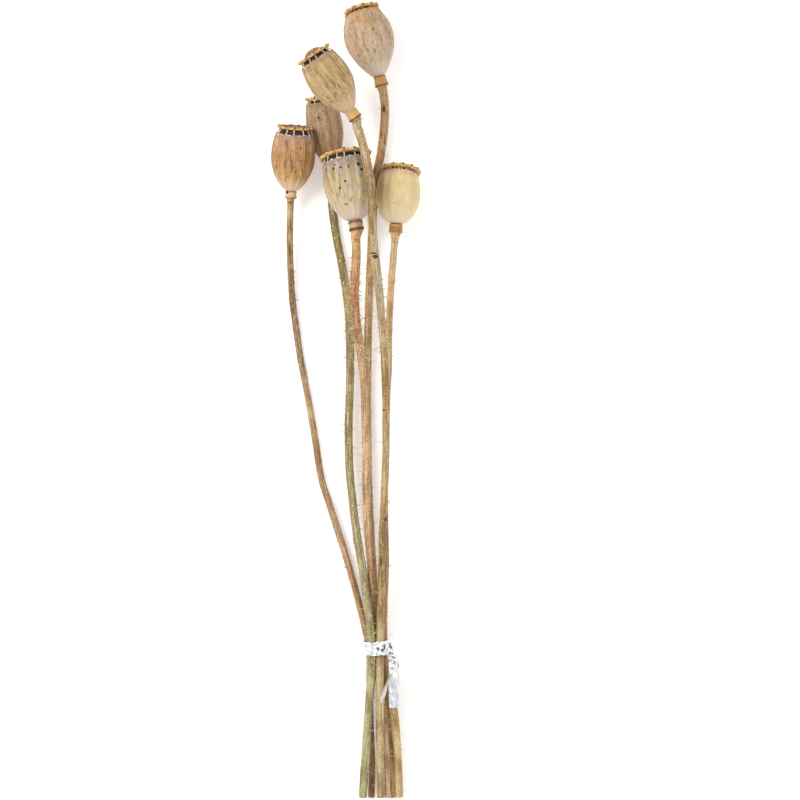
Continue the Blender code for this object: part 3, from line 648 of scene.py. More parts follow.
def disc_tree():
    """Turns a profile curve into a stigma disc: a raised ray and an upturned lobe a carpel."""
    tree, given = shape_tree("rayed stigma disc", {
        "Columns": 0, "Rows": DISC_ROWS, "Carpels": 0, "Radius": 0.0,
        "Middle height": DISC_THICKNESS * 0.6 * MM, "Ray height": RAY_HEIGHT * MM,
        "Lobe lift": LOBE_LIFT * MM, "Lobe notch": LOBE_NOTCH, "Unevenness": 1.6 * MM}, "Velvet")
    grid, angle, radius, height = turned_grid(tree, given)
    out = add(tree, OVER, (radius, given["Radius"]), use_clamp=True)
    crest = from_crest(tree, angle, given["Carpels"])
    wave = add(tree, TIMES, (crest, FULL_TURN))
    wave = add(tree, COSINE, (wave,))
    lobe = add(tree, TIMES_PLUS, (wave, 0.5, 0.5))
    cleft = add(tree, MINUS, (1, lobe))
    cleft = add(tree, POWER, (cleft, 2.5))
    rim = window(tree, out, 0.80, 1)
    cut = add(tree, TIMES, (cleft, rim))
    cut = add(tree, TIMES, (cut, given["Lobe notch"]))
    keep = add(tree, MINUS, (1, cut))
    shaped = add(tree, TIMES, (radius, keep))
    lift = add(tree, TIMES, (lobe, rim))
    raised = add(tree, TIMES_PLUS, (lift, given["Lobe lift"], height))
    # Rays lie on the upper side alone, with a groove along their backs
    ridge = window(tree, crest, RAY_HALF, 0.05)
    groove = window(tree, crest, 0.05, 0, 0.45)
    ridge = add(tree, MINUS, (ridge, groove))
    reach = add(tree, TIMES, (out, 3.1))
    reach = add(tree, SINE, (reach,), use_clamp=True)
    reach = add(tree, POWER, (reach, 0.6))
    ridge = add(tree, TIMES, (ridge, reach))
    upper = add(tree, ABOVE, (height, given["Middle height"]))
    ridge = add(tree, TIMES, (ridge, upper))
    raised = add(tree, TIMES_PLUS, (ridge, given["Ray height"], raised))
    waves = uneven(tree, rolled(tree, angle, radius, height), 520, given["Unevenness"])
    raised = add(tree, TIMES_PLUS, (waves, rim, raised))
    return turned_surface(tree, grid, angle, shaped, raised, given["Velvet"])


def ring_tree():
    """Copies of one small strut round the axis, each turned and leaning a little differently."""
    tree, given = shape_tree("struts round the mouth", {
        "Count": 0, "Turn": 0.0, "Waver": 0.02, "Flatness": 0.0, "Seed": 0}, "Finish")
    section = add(tree, CIRCLE, {"Resolution": 8, "Radius": MM})
    flat = add(tree, JOIN, (1, given["Flatness"], 1))
    section = add(tree, "GeometryNodeTransform", {"Geometry": section, "Scale": flat})
    strut = add(tree, SWEEP, {"Curve": given["Geometry"], "Profile Curve": section,
                              "Scale": add(tree, "GeometryNodeInputRadius"), "Fill Caps": True})
    spots = add(tree, "GeometryNodeMeshLine", {"Count": given["Count"], "Offset": (0, 0, 0)})
    step = add(tree, OVER, (FULL_TURN, given["Count"]))
    turn = add(tree, PLUS, (add(tree, "GeometryNodeInputIndex"), given["Turn"]))
    turn = add(tree, TIMES, (turn, step))
    stray = add(tree, RANDOM, {"Min": (-1, -1, -1), "Max": (1, 1, 1), "Seed": given["Seed"]},
                data_type="FLOAT_VECTOR")
    stray = add(tree, V_SCALE, {0: stray, "Scale": given["Waver"]})
    turn = add(tree, V_PLUS, (add(tree, JOIN, {"Z": turn}), stray))
    turn = add(tree, TO_TURN, (turn,))
    ring = add(tree, COPIES, {"Points": spots, "Instance": strut, "Rotation": turn})
    return end_tree(tree, ring, given["Finish"])


def bristle_tree():
    """Fine curved hairs that stand out from a skin, thinly spread by a seeded draw."""
    tree, given = shape_tree("stem bristles", {
        "Density": 0.0, "Shortest": HAIR_LENGTH * 0.5 * MM, "Longest": HAIR_LENGTH * MM,
        "Thickness": HAIR_THICKNESS / HAIR_LENGTH, "Seed": 0}, "Hair")
    bend = add(tree, "GeometryNodeCurveQuadraticBezier", {
        "Resolution": 4, "Start": (0, 0, 0), "Middle": (0, 0, 0.6), "End": (0.3, 0, 1)})
    taper = add(tree, MINUS, (1.05, add(tree, "GeometryNodeSplineParameter")))
    thick = add(tree, TIMES, (taper, given["Thickness"]))
    section = add(tree, CIRCLE, {"Resolution": 3, "Radius": 0.5})
    hair = add(tree, SWEEP, {"Curve": bend, "Profile Curve": section, "Scale": thick,
                             "Fill Caps": True})
    # No bristle grows on a cut end, or where it would reach the surface below
    place = add(tree, SPLIT, (add(tree, PLACE),)).node.outputs
    facing = add(tree, SPLIT, (add(tree, "GeometryNodeInputNormal"),)).node.outputs
    reach = add(tree, TIMES_PLUS, (facing["Z"], given["Longest"], place["Z"]))
    clear = add(tree, ABOVE, (reach, add(tree, TIMES, (given["Longest"], 0.9))))
    on_skin = add(tree, ABOVE, (facing["Y"], -0.7))
    clear = add(tree, TIMES, (clear, on_skin))
    # Most of them grow where the picture shows rows 250 to 380
    upper = window(tree, place["Y"], placed(0, 250, 0).y, placed(0, 280, 0).y)
    lower = window(tree, place["Y"], placed(0, 380, 0).y, placed(0, 350, 0).y)
    crowded = add(tree, TIMES, (upper, lower))
    crowded = add(tree, TIMES_PLUS, (crowded, 2.2, 0.7))
    density = add(tree, TIMES, (crowded, given["Density"]))
    roots = add(tree, "GeometryNodeDistributePointsOnFaces", {
        "Mesh": given["Geometry"], "Selection": clear, "Density": density,
        "Seed": given["Seed"]}).node.outputs
    length = add(tree, RANDOM, {2: given["Shortest"], 3: given["Longest"],
                               "Seed": given["Seed"]}, 1, data_type="FLOAT")
    hairs = add(tree, COPIES, {"Points": roots["Points"], "Instance": hair,
                               "Rotation": roots["Rotation"], "Scale": length})
    lean = add(tree, RANDOM, {"Min": (-0.6, -0.6, -3.1), "Max": (0.6, 0.6, 3.1),
                              "Seed": given["Seed"]}, data_type="FLOAT_VECTOR")
    hairs = add(tree, "GeometryNodeRotateInstances", {
        "Instances": hairs, "Rotation": add(tree, TO_TURN, (lean,))})
    return end_tree(tree, hairs, given["Hair"], smooth=False)


# Finishes


def new_finish(name, constants):
    """A new material whose Principled shader has these numbers and colours all over."""
    material = bpy.data.materials.new(name)
    material.use_nodes = True
    for socket, value in constants.items():
        tree = material.node_tree
        put(tree, tree.nodes["Principled BSDF"].inputs[socket], value)
    return material


def ramp(tree, share, stops):
    """A colour ramp through (share, hex) stops."""
    colour = add(tree, "ShaderNodeValToRGB", {"Fac": share})
    points = colour.node.color_ramp.elements
    while len(points) < len(stops):
        points.new(0.5)
    for point, (at, tone) in zip(points, sorted(stops)):
        point.position = at
        point.color = linear(tone)
    return colour


def blend(tree, share, below, above, kind="MIX"):
    """Colour below, going over to colour above as share goes to 1."""
    return add(tree, "ShaderNodeMix", {"Factor": share, 6: below, 7: above}, 2,
               data_type="RGBA", blend_type=kind)


def layered(tree, colour, layers):
    """The colour under layers, each (field, where it starts, where it is full, most, tone).

    A layer's sixth value, where it has one, is a field that holds it to some places.
    """
    for field, start, full, most, tone, *places in layers:
        share = window(tree, field, start, full, most)
        if places:
            share = add(tree, TIMES, (share, places[0]))
        colour = blend(tree, share, colour, tone)
    return colour


def dress(tree, colour, bumps=()):
    """Joins to the shader its colour and its bumps, each (field, strength, depth in mm)."""
    shader = tree.nodes["Principled BSDF"].inputs
    tree.links.new(colour, shader["Base Color"])
    normal = {}
    for field, strength, depth in bumps:
        height = {"Height": field, "Strength": strength, "Distance": depth * MM}
        normal["Normal"] = add(tree, "ShaderNodeBump", height | normal)
    if normal:
        tree.links.new(normal["Normal"], shader["Normal"])


def row_share(row):
    """Where a row of the picture lies along the bunch: 0 at the cut ends, 1 at the top disc."""
    return min(max((PICTURE_MIDDLE - row) * PICTURE_SCALE / (2 * HALF_LENGTH) + 0.5, 0), 1)


def seen_at(piece, column, row):
    """The point of the piece that the picture shows at this column and row, or the nearest one."""
    eye = placed(column, row, VIEW_HEIGHT)
    sight = placed(column, row, 0) - eye
    hit, place, _, _ = piece.ray_cast(eye, sight)
    if hit:
        return place
    return min((v.co for v in piece.data.vertices), key=lambda p: (p - eye).cross(sight).length)


def marked(tree, colour, piece, marks):
    """The colour with the marks that the picture shows on this piece, ragged at their edges."""
    place = add(tree, "ShaderNodeTexCoord", out="Object")
    ragged = add(tree, NOISE, {"Vector": place, "Scale": 1200, "Detail": 2})
    for column, row, wide, high, tone in marks:
        away = add(tree, V_MINUS, (place, seen_at(piece, column, row)))
        sized = (1 / (wide * MM), 1 / (high * MM), 0.5 / (max(wide, high) * MM))
        away = add(tree, V_LENGTH, (add(tree, V_TIMES, (away, sized)),), "Value")
        away = add(tree, PLUS, (ragged, away))
        colour = layered(tree, colour, [(away, 1.65, 1.25, 0.92, tone)])
    return colour


def paint_stem(material, poppy, piece):
    """Dried poppy stem: straw-like skin in fine lengthwise fibres, matt, blotched where it aged."""
    tree = material.node_tree
    along = add(tree, SPLIT, (add(tree, "ShaderNodeTexCoord", out="Object"),), "Y")
    share = add(tree, "ShaderNodeMapRange", {
        "Value": along, "From Min": -HALF_LENGTH * MM, "From Max": HALF_LENGTH * MM})
    colour = ramp(tree, share, [(row_share(row), tone) for row, tone in poppy["skin"]])
    unbent = add(tree, "ShaderNodeAttribute", out="Vector", attribute_name="unbent")
    # Fibres are about 0.4 mm wide and 15 mm long, blotches about 6 mm long
    fibres = add(tree, V_TIMES, (unbent, (1, 1, 0.03)))
    fibres = add(tree, NOISE, {"Vector": fibres, "Scale": 1500, "Detail": 3})
    grain = add(tree, NOISE, {"Vector": unbent, "Scale": 950, "Detail": 3, "Roughness": 0.7})
    blotch = add(tree, V_TIMES, (unbent, (1, 1, 0.35)))
    blotch = add(tree, NOISE, {"Vector": blotch, "Scale": 260, "Detail": 4})
    specks = add(tree, CELLS, {"Vector": unbent, "Scale": 640})
    # Hairs that fell off left pale dots
    dots = add(tree, CELLS, {"Vector": unbent, "Scale": 380})
    colour = blend(tree, window(tree, fibres, 0.50, 0.66, 0.6), colour, "#80603a", "MULTIPLY")
    colour = layered(tree, colour, [
        (fibres, 0.46, 0.32, 0.5, "#ecdcb8"), (grain, 0.53, 0.66, 0.5, "#76582f"),
        (grain, 0.46, 0.36, 0.45, "#e8dab6"), (blotch, 0.50, 0.64, 0.55, "#7d5f34"),
        (blotch, 0.46, 0.35, 0.4, "#cbbf98"), (specks, 0.22, 0.10, 0.6, "#5f4020"),
        (dots, 0.13, 0.06, 0.7, "#e9dfb4")])
    cuff = layered(tree, poppy["cuff_colour"], [
        (fibres, 0.40, 0.70, 0.5, "#8f6234"), (blotch, 0.48, 0.34, 0.4, "#e2cba2")])
    # The fibres make the cuff's dark lines uneven, by 0.4 mm to either side
    below = add(tree, "ShaderNodeAttribute", out="Fac", attribute_name="below")
    waver = add(tree, TIMES_PLUS, (fibres, 0.8 * MM, below))
    for middle, half, strength in poppy["cuff_lines"]:
        away = add(tree, ABSOLUTE, (add(tree, MINUS, (waver, (middle + 0.4) * MM)),))
        cuff = layered(tree, cuff, [
            (away, half * 1.5 * MM, half * 0.5 * MM, strength, "#5e2c14")])
    end = poppy["cuff"][-2][0] * MM
    colour = layered(tree, colour, [(below, end + 0.5 * MM, end, 1, cuff)])
    dress(tree, marked(tree, colour, piece, poppy["skin_marks"]), [(fibres, 0.5, 0.25)])


def turned_places(tree, carpels):
    """On a head: its own place, that place's parts, the distance from a crest and from the axis."""
    head = add(tree, "ShaderNodeAttribute", out="Vector", attribute_name="head")
    parts = add(tree, SPLIT, (head,)).node.outputs
    crest = from_crest(tree, add(tree, ARCTAN2, (parts["Y"], parts["X"])), carpels)
    out = add(tree, V_LENGTH, (add(tree, V_TIMES, (head, (1, 1, 0))),), "Value")
    return head, parts["Z"], crest, out


def paint_capsule(material, poppy, piece):
    """Dry capsule wall: papery, with a waxy bloom, darker streaks, a pale double line a rib and painted
    shade within the pores.
    """
    tree = material.node_tree
    length = capsule_length(poppy) * MM
    sill = length - poppy["pore"] * MM
    mouth = poppy["mouth"] * MM
    head, height, crest, out = turned_places(tree, poppy["carpels"])
    share = add(tree, OVER, (height, length), use_clamp=True)
    colour = ramp(tree, share, list(zip((0.03, 0.28, 0.55, 0.78, 0.93), poppy["wall"])))
    # Bloom lies in clouds about 8 mm across, thicker towards the mouth
    clouds = add(tree, NOISE, {"Vector": head, "Scale": 130, "Detail": 4, "Roughness": 0.6})
    thick = add(tree, TIMES_PLUS, (share, 0.22, clouds))
    # Streaks run from foot to mouth, about 1 mm wide; mottles are 2 or 3 mm wide
    streaks = add(tree, V_TIMES, (head, (1, 1, 0.14)))
    streaks = add(tree, NOISE, {"Vector": streaks, "Scale": 620, "Detail": 4})
    mottle = add(tree, NOISE, {"Vector": head, "Scale": 420, "Detail": 5, "Roughness": 0.65})
    grain = add(tree, NOISE, {"Vector": head, "Scale": 1500, "Detail": 3})
    specks = add(tree, CELLS, {"Vector": head, "Scale": 300})
    above_foot = window(tree, share, 0.06, 0.34, poppy["streaks"])
    # The two lines on each rib are paler, the groove between them browner
    line = add(tree, ABSOLUTE, (add(tree, MINUS, (crest, SEAM_PLACE)),))
    broken = window(tree, streaks, 0.66, 0.42, poppy["seams"])
    # The skin is stained and torn for 4 mm below the pores; within the pores the wall is darkened to dark
    # brown, painted shade under the disc
    stained = window(tree, height, sill - 4.5 * MM, sill - 0.3 * MM)
    painted_pore_shade = window(tree, height, sill - 0.7 * MM, sill)
    colour = layered(tree, colour, [
        (thick, 0.52, 0.78, 0.75, poppy["bloom"]),
        (streaks, 0.50, 0.68, 1, poppy["streak"], above_foot),
        (mottle, 0.51, 0.64, 0.5, poppy["streak"], above_foot),
        (grain, 0.54, 0.70, 0.7, "#7c5c34", above_foot),
        (grain, 0.44, 0.30, 0.35, "#f0e4cc"),
        (line, 0.07, 0.02, 1, "#efe4cc", broken),
        (crest, 0.05, 0.01, poppy["seams"] * 0.6, poppy["streak"]),
        (grain, 0.36, 0.60, 0.85, poppy["stain"], stained),
        (specks, 0.12, 0.05, poppy["specks"], "#4a2f18")])
    colour = marked(tree, colour, piece, poppy.get("wall_marks", []))
    # Painted shade: the recessed wall and roof within the pores, under the disc, go dark brown
    colour = layered(tree, colour, [(out, mouth - 0.4 * MM, mouth - MM, 1, "#2a170b", painted_pore_shade)])
    dress(tree, colour, [(grain, 0.35, 0.2), (streaks, 0.4, 0.35)])


def paint_disc(material, poppy):
    """Stigma disc: golden-brown papery lobes under velvety rays that dried dark along their backs, with
    painted shade on its underside.
    """
    tree = material.node_tree
    head, height, crest, out = turned_places(tree, poppy["carpels"])
    out = add(tree, OVER, (out, poppy["disc"] * MM), use_clamp=True)
    grain = add(tree, NOISE, {"Vector": head, "Scale": 900, "Detail": 4})
    colour = ramp(tree, grain, [(0.36, "#7a4c1e"), (0.47, "#bf8a3e"), (0.60, "#ecca82")])
    thick = DISC_THICKNESS * MM
    upper = window(tree, height, thick * 0.55, thick * 0.8)
    painted_underside_shade = window(tree, out, 0.92, 0.70)
    # The last layer is painted shade: the flat underside over the mouth goes dark brown
    colour = layered(tree, colour, [
        (out, 0.84, 0.98, 0.35, "#d9ae64"), (crest, RAY_HALF, 0.08, 1, "#7a4a20", upper),
        (out, 0.86, 0.62, 0.7, "#6e4a2e", upper), (height, thick * 0.35, 0, 0.85, "#4a2a12", painted_underside_shade)])
    dress(tree, colour, [(grain, 0.5, 0.3)])


def strut_finish(name, tones):
    """Pore struts: bare pale fibre, cream where the skin has gone, browner in its pits."""
    material = new_finish("dry_fibre_strut_" + name, {"Roughness": 0.7, "IOR": 1.45})
    tree = material.node_tree
    place = add(tree, "ShaderNodeTexCoord", out="Object")
    grain = add(tree, NOISE, {"Vector": place, "Scale": 1100, "Detail": 3})
    dress(tree, ramp(tree, grain, list(zip((0.36, 0.50, 0.66), tones))), [(grain, 0.4, 0.15)])
    return material


def hair_finish():
    """Stem bristle: a fine stiff hair, a little shiny, pale straw or browner from place to place."""
    material = new_finish("dry_stem_bristle", {"Roughness": 0.45, "IOR": 1.5})
    tree = material.node_tree
    place = add(tree, "ShaderNodeTexCoord", out="Object")
    tone = add(tree, NOISE, {"Vector": place, "Scale": 300})
    dress(tree, ramp(tree, tone, [(0.42, "#a8824a"), (0.58, "#f4e9c6")]))
    return material


def paint_foil(material, piece):
    """Aluminium foil on paper: bright, dulled by handling, with long folds and creases darkened by
    painted shade.
    """
    tree = material.node_tree
    # Folds run along the tails, about 2 mm apart; the handling marks are about 1 mm
    place = add(tree, "ShaderNodeTexCoord", out="Object")
    place = add(tree, V_TIMES, (place, (1, 0.3, 1)))
    folds = add(tree, CELLS, {"Vector": place, "Scale": 420}, feature="DISTANCE_TO_EDGE")
    marks = add(tree, NOISE, {"Vector": place, "Scale": 500, "Detail": 3})
    colour = ramp(tree, marks, [(0.30, "#d4d5da"), (0.48, "#f2f2f4"), (0.65, "#fdfdff")])
    # Painted shade: the fold lines are darkened grey
    colour = layered(tree, colour, [(folds, 0.035, 0, 0.3, "#8a8c94")])
    rough = add(tree, "ShaderNodeMapRange", {"Value": marks, "To Min": 0.25, "To Max": 0.45})
    tree.links.new(rough, tree.nodes["Principled BSDF"].inputs["Roughness"])
    dress(tree, marked(tree, colour, piece, FOIL_SHADE_MARKS), [(folds, 0.35, 0.3)])


# The pieces


def cuff_radius(poppy, below):
    """Radius in mm this far below the neck, on the smooth line through the cuff's own points."""
    cuff = poppy["cuff"]
    for (a, low), (b, high) in zip(cuff, cuff[1:]):
        if below <= b:
            return low + (high - low) * smooth_step(a, b, below)
    stalk = stem_radius(poppy, 1.0)
    return stalk + (cuff[-1][1] - stalk) * smooth_step(CUFF_FUNNEL, 0, below - cuff[-1][0])


def stem_path(poppy):
    """Points from the cut end to the neck, and the radius in mm at each, with the cuff's rings."""
    route = smooth_route(poppy["route"], STEM_STEP)
    neck = route[-1]
    straight = 1.4 * COLLAR_LENGTH
    points = [p for p in route if (p - neck).length > straight * MM]
    radii = []
    for i, point in enumerate(points):
        below = (point - neck).length / MM
        radii.append(stem_radius(poppy, i / len(points)))
        if below < straight + CUFF_FUNNEL:
            radii[-1] = max(radii[-1], cuff_radius(poppy, below))
    count = round(COLLAR_LENGTH / COLLAR_STEP)
    for i in range(count + 1):
        below = COLLAR_LENGTH * (1 - i / count)
        points.append(neck - head_axis(poppy) * below * MM)
        radii.append(cuff_radius(poppy, below))
    return points, radii


def tipped(mesh, poppy, start):
    """Tips and shifts the mouth a little, as the head grew, and puts the mesh on its head."""
    place = head_matrix(poppy, start + GAP)
    near = place.to_3x3().inverted() @ Vector((0, 0, 1))
    near.z = 0
    near.normalize()
    slope = math.tan(math.radians(poppy["skew"]))
    length = capsule_length(poppy) * MM
    for vertex in mesh.vertices:
        share = min(max((start * MM + vertex.co.z) / length, 0), 1)
        vertex.co.z += (slope * vertex.co.dot(near) + poppy["rise"] * MM) * share * share
    mesh.transform(place)


def make_stem(name, poppy, tree, bristle, hair):
    """The fluted stem with its ringed collar, and the bristles on it."""
    skin = new_finish("dried_stem_skin_" + name, {"Roughness": 0.62, "IOR": 1.45})
    stem = grown("fine_stem_" + name, path_object("route", *stem_path(poppy)), tree,
                 {"Skin": skin})
    paint_stem(skin, poppy, stem)
    finished(stem, poppy["skin_slot"], "stem_" + name)
    hairs = grown("bristles_" + name, plain_object("roots", stem.data.copy()), bristle, {
        "Density": poppy["hairs"] / STEM_SKIN, "Seed": len(name), "Hair": hair})
    finished(hairs, poppy["skin_slot"])


def make_spur(name, poppy, tree):
    """A short spur at the side of a stem: the same dry skin, plain brown and matt."""
    places, radii, tone = poppy["spur"]
    skin = new_finish("dry_spur_" + name, {"Base Color": tone, "Roughness": 0.65})
    line = path_object("spur_line", [placed(*place) for place in places], radii)
    spur = grown("spur_" + name, line, tree, {
        "Sides": 16, "Flutes": 5.0, "Unevenness": 0.4 * MM, "Skin": skin})
    finished(spur, poppy["skin_slot"])


def capsule_profile(poppy):
    """The wall's outline from its foot to the sill of the pores, then in and up to the roof."""
    length = capsule_length(poppy)
    deep = poppy["mouth"] - PORE_DEPTH
    sill = length - poppy["pore"]
    outline = [(0, 0)]
    for i in range(PROFILE_STEPS + 1):
        share = sill / length * i / PROFILE_STEPS
        outline.append((capsule_radius(poppy, share), share * length))
    rim = outline[-1][0]
    return outline + [
        (rim - 0.1, sill + 0.3), (rim - 0.45, sill + 0.3), (rim - 0.9, sill - 0.2), (deep, sill),
        (deep - 0.2, length - 0.6), (deep - 0.3, length), (0, length)]


def make_capsule(name, poppy, tree, ring):
    """The ribbed capsule, the struts between its pores and the small teeth under them."""
    paper = new_finish("dry_capsule_wall_" + name, {"Roughness": 0.58, "IOR": 1.45})
    length = capsule_length(poppy)
    carpels = poppy["carpels"]
    profile = profile_object("profile", capsule_profile(poppy))
    wall = grown("fine_capsule_" + name, profile, tree, {
        "Columns": carpels * CARPEL_STEPS + 1, "Carpels": carpels, "Rib swell": poppy["rib"],
        "Fine ribs": poppy["fine_ribs"], "Length": length * MM, "Wall": paper})
    tipped(wall.data, poppy, 0)
    paint_capsule(paper, poppy, wall)
    finished(wall, poppy["slot"], "capsule_" + name)
    top = poppy["mouth"] - 0.7
    sill = length - poppy["pore"]
    rim = capsule_radius(poppy, sill / length)
    half = PILLAR_WIDTH / 2
    wide = rim * FULL_TURN / carpels * 0.26
    post = [(rim - 0.3, sill - 0.8), (rim - 0.25, sill + 0.3),
            (rim * 0.6 + top * 0.4, sill * 0.55 + length * 0.45),
            (rim * 0.2 + top * 0.8, sill * 0.2 + length * 0.8), (top + 0.2, length + 0.1)]
    flap = [(rim - 0.5, sill - 0.1), (rim + 0.1, sill + 0.3), (rim + 0.5, sill + 0.5)]
    strut = strut_finish(name, poppy["fibre"])
    for kind, line, radii, count, turn, flatness, seed in (
            ("pore_struts_", post, [half * k for k in (1.6, 1.1, 0.85, 1, 1.7)],
             carpels * poppy["posts"], 0.0, 0.8, 3),
            ("pore_teeth_", flap, [wide, wide * 0.8, wide * 0.15], carpels, 0.5, 0.14, 5)):
        piece = grown(kind + name, profile_object(kind, line, radii), ring, {
            "Count": count, "Turn": turn, "Flatness": flatness, "Seed": seed, "Finish": strut})
        tipped(piece.data, poppy, 0)
        finished(piece, "capsule_pale")


def make_disc(name, poppy, tree):
    """The stigma disc with its rays and lobes."""
    velvet = new_finish("dry_stigma_lobes_" + name, {
        "Roughness": 0.75, "IOR": 1.45, "Sheen Weight": 0.25, "Sheen Roughness": 0.5})
    radius = poppy["disc"]
    crown = poppy["crown"]
    top = DISC_THICKNESS
    low = top + 0.2 - DISC_EDGE
    outline = [(radius * share, height) for share, height in (
        (0, 0), (0.80, 0), (0.93, low * 0.5), (0.985, low), (1, low + DISC_EDGE * 0.5),
        (0.985, low + DISC_EDGE), (0.90, top), (0.70, top * 0.85),
        (0.50, top * 0.9 + crown * 0.2), (0.36, top + crown * 0.6), (0.20, top + crown * 0.92),
        (0, top + crown))]
    carpels = poppy["carpels"]
    disc = grown("fine_stigma_disc_" + name, profile_object("rim", outline), tree, {
        "Columns": carpels * CARPEL_STEPS + 1, "Carpels": carpels, "Radius": radius * MM,
        "Velvet": velvet})
    paint_disc(velvet, poppy)
    tipped(disc.data, poppy, capsule_length(poppy) + GAP)
    finished(disc, "stigma_golden_brown", "stigma_disc_" + name)


# The foil twist tie


def hull(points):
    """The convex outline of 2D points, anticlockwise."""
    points = sorted(set(points))

    def half(ordered):
        chain = []
        for p in ordered:
            while len(chain) > 1:
                (ax, az), (bx, bz) = chain[-2], chain[-1]
                if (bx - ax) * (p[1] - az) - (bz - az) * (p[0] - ax) > 0:
                    break
                chain.pop()
            chain.append(p)
        return chain[:-1]

    return half(points) + half(points[::-1])


def wrap_outline(tie_y):
    """The closed outline of a foil pulled tight round the six stems, as x and z in mm."""
    ring = []
    for poppy in POPPIES.values():
        points = smooth_route(poppy["route"], 1.0)
        for i, point in enumerate(points):
            if abs(point.y / MM - tie_y) < FOIL_WIDTH:
                reach = stem_radius(poppy, i / len(points)) + SOLID_FOIL / 2 + GAP
                for angle in (FULL_TURN * k / 24 for k in range(24)):
                    ring.append((point.x / MM + reach * math.cos(angle),
                                 point.z / MM + reach * math.sin(angle)))
    return hull(ring)


def around(outline, turns):
    """The point and outward direction at this many turns round the outline, from its right side."""
    middle_x = sum(x for x, _ in outline) / len(outline)
    middle_z = sum(z for _, z in outline) / len(outline)
    angle = FULL_TURN * turns
    outward = Vector((math.cos(angle), 0, math.sin(angle)))
    distances = []
    for (ax, az), (bx, bz) in zip(outline, outline[1:] + outline[:1]):
        nx, nz = bz - az, ax - bx
        slope = nx * outward.x + nz * outward.z
        if slope > 1e-9:
            distances.append((nx * (ax - middle_x) + nz * (az - middle_z)) / slope)
    return Vector((middle_x, 0, middle_z)) + outward * min(distances), outward


def foil_strip(bm, steps, rows, placing):
    """Adds a strip of foil with both its faces and its edges: placing gives the middle in mm."""
    places = [[placing(i / steps, 2 * j / rows - 1) for j in range(rows + 1)]
              for i in range(steps + 1)]
    low, high = [], []
    for layer, side in ((low, -0.5), (high, 0.5)):
        for i in range(steps + 1):
            line = []
            for j in range(rows + 1):
                along = places[min(i + 1, steps)][j] - places[max(i - 1, 0)][j]
                across = places[i][min(j + 1, rows)] - places[i][max(j - 1, 0)]
                out = across.cross(along).normalized() * side * FOIL_SHEET
                line.append(bm.verts.new((places[i][j] + out) * MM))
            layer.append(line)
    for i in range(steps):
        for j in range(rows):
            bm.faces.new((low[i][j], low[i][j + 1], low[i + 1][j + 1], low[i + 1][j]))
            bm.faces.new((high[i][j], high[i + 1][j], high[i + 1][j + 1], high[i][j + 1]))
    for i in range(steps):
        for j in (0, rows):
            bm.faces.new((low[i][j], low[i + 1][j], high[i + 1][j], high[i][j]))
    for j in range(rows):
        for i in (0, steps):
            bm.faces.new((low[i][j], high[i][j], high[i][j + 1], low[i][j + 1]))


def make_tie():
    """A flat foil strip wound round the stems, twisted at their right, with two free tails."""
    tie_y = placed(PICTURE_MIDDLE, TIE_ROW, TIE_HEIGHT).y / MM
    outline = wrap_outline(tie_y)
    noise.seed_set(FOIL_SEED)
    point, outward = around(outline, FOIL_TURNS)
    end = point + outward * FOIL_LAYER * FOIL_TURNS
    end.y = tie_y

    def crumpled(point, depth, size=0.45):
        large = noise.noise_vector(point * size) * depth
        return point + (large + noise.noise_vector(point * 2) * depth * 0.4)

    def wound(along, across):
        turns = along * FOIL_TURNS
        point, outward = around(outline, turns)
        pleat = 0.14 * math.sin(across * 7 + 3 * math.sin(31 * turns)) + 0.1
        point += outward * (FOIL_LAYER * turns + pleat)
        middle = tie_y + FOIL_SPREAD * (0.5 - along) + 0.3 * math.sin(9 * turns)
        point.y = middle + across * FOIL_WIDTH / 2
        return crumpled(point, 0.16)

    def knot(along, across):
        angle = KNOT_TWIST * along
        centre = end + Vector((0.2 + 4.4 * along, -1 - 9 * along, 0.6 - 2.9 * along))
        spread = Vector((math.sin(angle), 0, math.cos(angle)))
        return crumpled(centre + spread * across * (2.6 - 0.6 * along), 0.8)

    def broad_tail(along, across):
        centre = end + Vector((4.0, -8 - 30 * along, -2.2 - 0.5 * along))
        spread = Vector((across * FOIL_WIDTH / 2, 0, 0.4 * math.sin(5 * along)))
        return crumpled(centre + spread, 0.4, 0.25)

    def narrow_tail(along, across):
        centre = end + Vector((2.6 - 6.8 * along, -14 - 19 * along, -2.5 + 9.3 * along))
        spread = Vector((math.sin(TAIL_LEAN), 0, math.cos(TAIL_LEAN)))
        return crumpled(centre + spread * across * (1.2 + 1.9 * along), 0.3)

    bm = bmesh.new()
    for part, steps, rows in ((wound, 520, 14), (knot, 60, 8), (broad_tail, 60, 12),
                              (narrow_tail, 40, 8)):
        foil_strip(bm, steps, rows, part)
    bmesh.ops.recalc_face_normals(bm, faces=bm.faces)
    mesh = bpy.data.meshes.new("foil_tie")
    bm.to_mesh(mesh)
    bm.free()
    mesh.shade_smooth()
    mesh.set_sharp_from_angle(angle=math.radians(35))
    foil = new_finish("crinkled_aluminium_foil", {"Metallic": 0.55})
    mesh.materials.append(foil)
    tie = plain_object("foil_tie", mesh)
    paint_foil(foil, tie)
    finished(tie, "foil", "twist_tie")


# The surface, the light and the camera


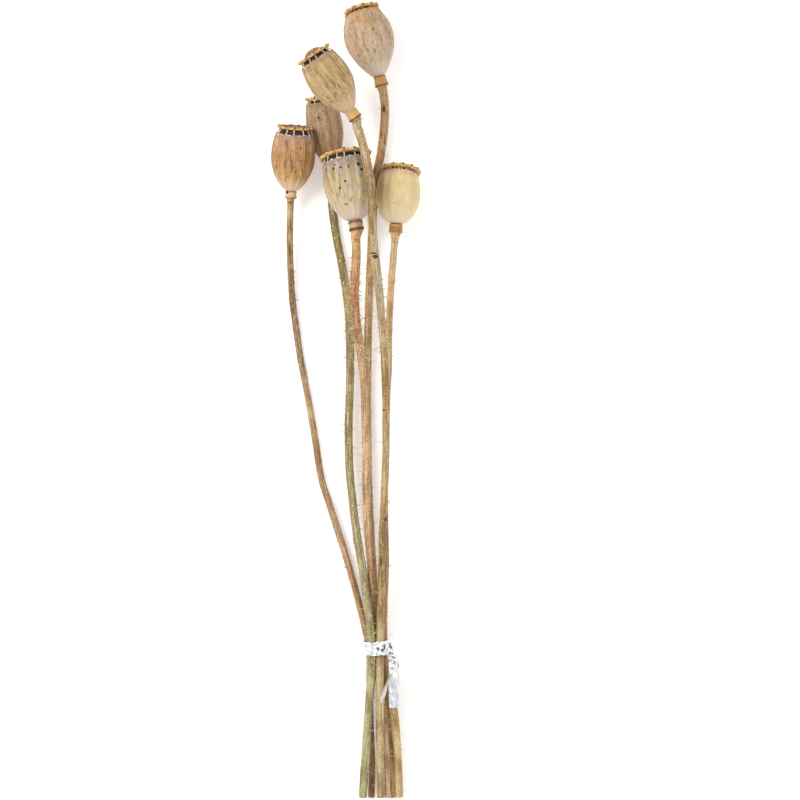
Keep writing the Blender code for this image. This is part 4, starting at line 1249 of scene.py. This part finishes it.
def make_surface():
    """Matt white panel lit from behind, as for a cut-out picture: shadows on it stay faint."""
    bm = bmesh.new()
    bmesh.ops.create_grid(bm, x_segments=1, y_segments=1, size=1.5)
    mesh = bpy.data.meshes.new("surface")
    bm.to_mesh(mesh)
    bm.free()
    mesh.materials.append(new_finish("matt_white_panel", {
        "Base Color": "#f7f7f6", "Roughness": 0.95, "Emission Color": "#ffffff",
        "Emission Strength": 0.3}))
    surface = plain_object("surface", mesh)
    surface.location.z = -0.2 * MM


def soft_light(name, place, size, watts, colour):
    """A square soft box at this place, aimed at the middle of the bunch."""
    light = bpy.data.lights.new(name, "AREA")
    light.size = size
    light.energy = watts
    light.color = linear(colour)[:3]
    lamp = plain_object(name, light)
    lamp.location = place
    lamp.rotation_euler = (-Vector(place)).to_track_quat("-Z", "Y").to_euler()


def make_studio():
    """A white room and two soft boxes, the stronger at the upper left."""
    world = bpy.data.worlds.new("white_room")
    world.use_nodes = True
    background = world.node_tree.nodes["Background"].inputs
    background["Color"].default_value = linear("#ffffff")
    background["Strength"].default_value = 0.62
    bpy.context.scene.world = world
    bpy.context.scene.view_settings.view_transform = "Standard"
    soft_light("key_box", (-0.9, 0.5, 1.3), 0.8, 18.5, "#fffaf2")
    soft_light("fill_box", (1.1, -0.3, 1.4), 1.2, 9, "#f4f8ff")


def make_camera():
    """Straight down on the bunch, from where the picture was taken."""
    camera = bpy.data.cameras.new("camera")
    camera.angle = 2 * math.atan(PICTURE_SCALE * PICTURE_MIDDLE / VIEW_HEIGHT)
    view = plain_object("camera", camera)
    view.location = Vector((MIDDLE_X, MIDDLE_Y, VIEW_HEIGHT)) * MM
    bpy.context.scene.camera = view


def build():
    make_camera()
    make_surface()
    make_studio()
    stem, wall, disc, ring, bristle = (
        stem_tree(), capsule_tree(), disc_tree(), ring_tree(), bristle_tree())
    hair = hair_finish()
    for name, poppy in POPPIES.items():
        make_stem(name, poppy, stem, bristle, hair)
        make_capsule(name, poppy, wall, ring)
        make_disc(name, poppy, disc)
        if "spur" in poppy:
            make_spur(name, poppy, stem)
    make_tie()


build()
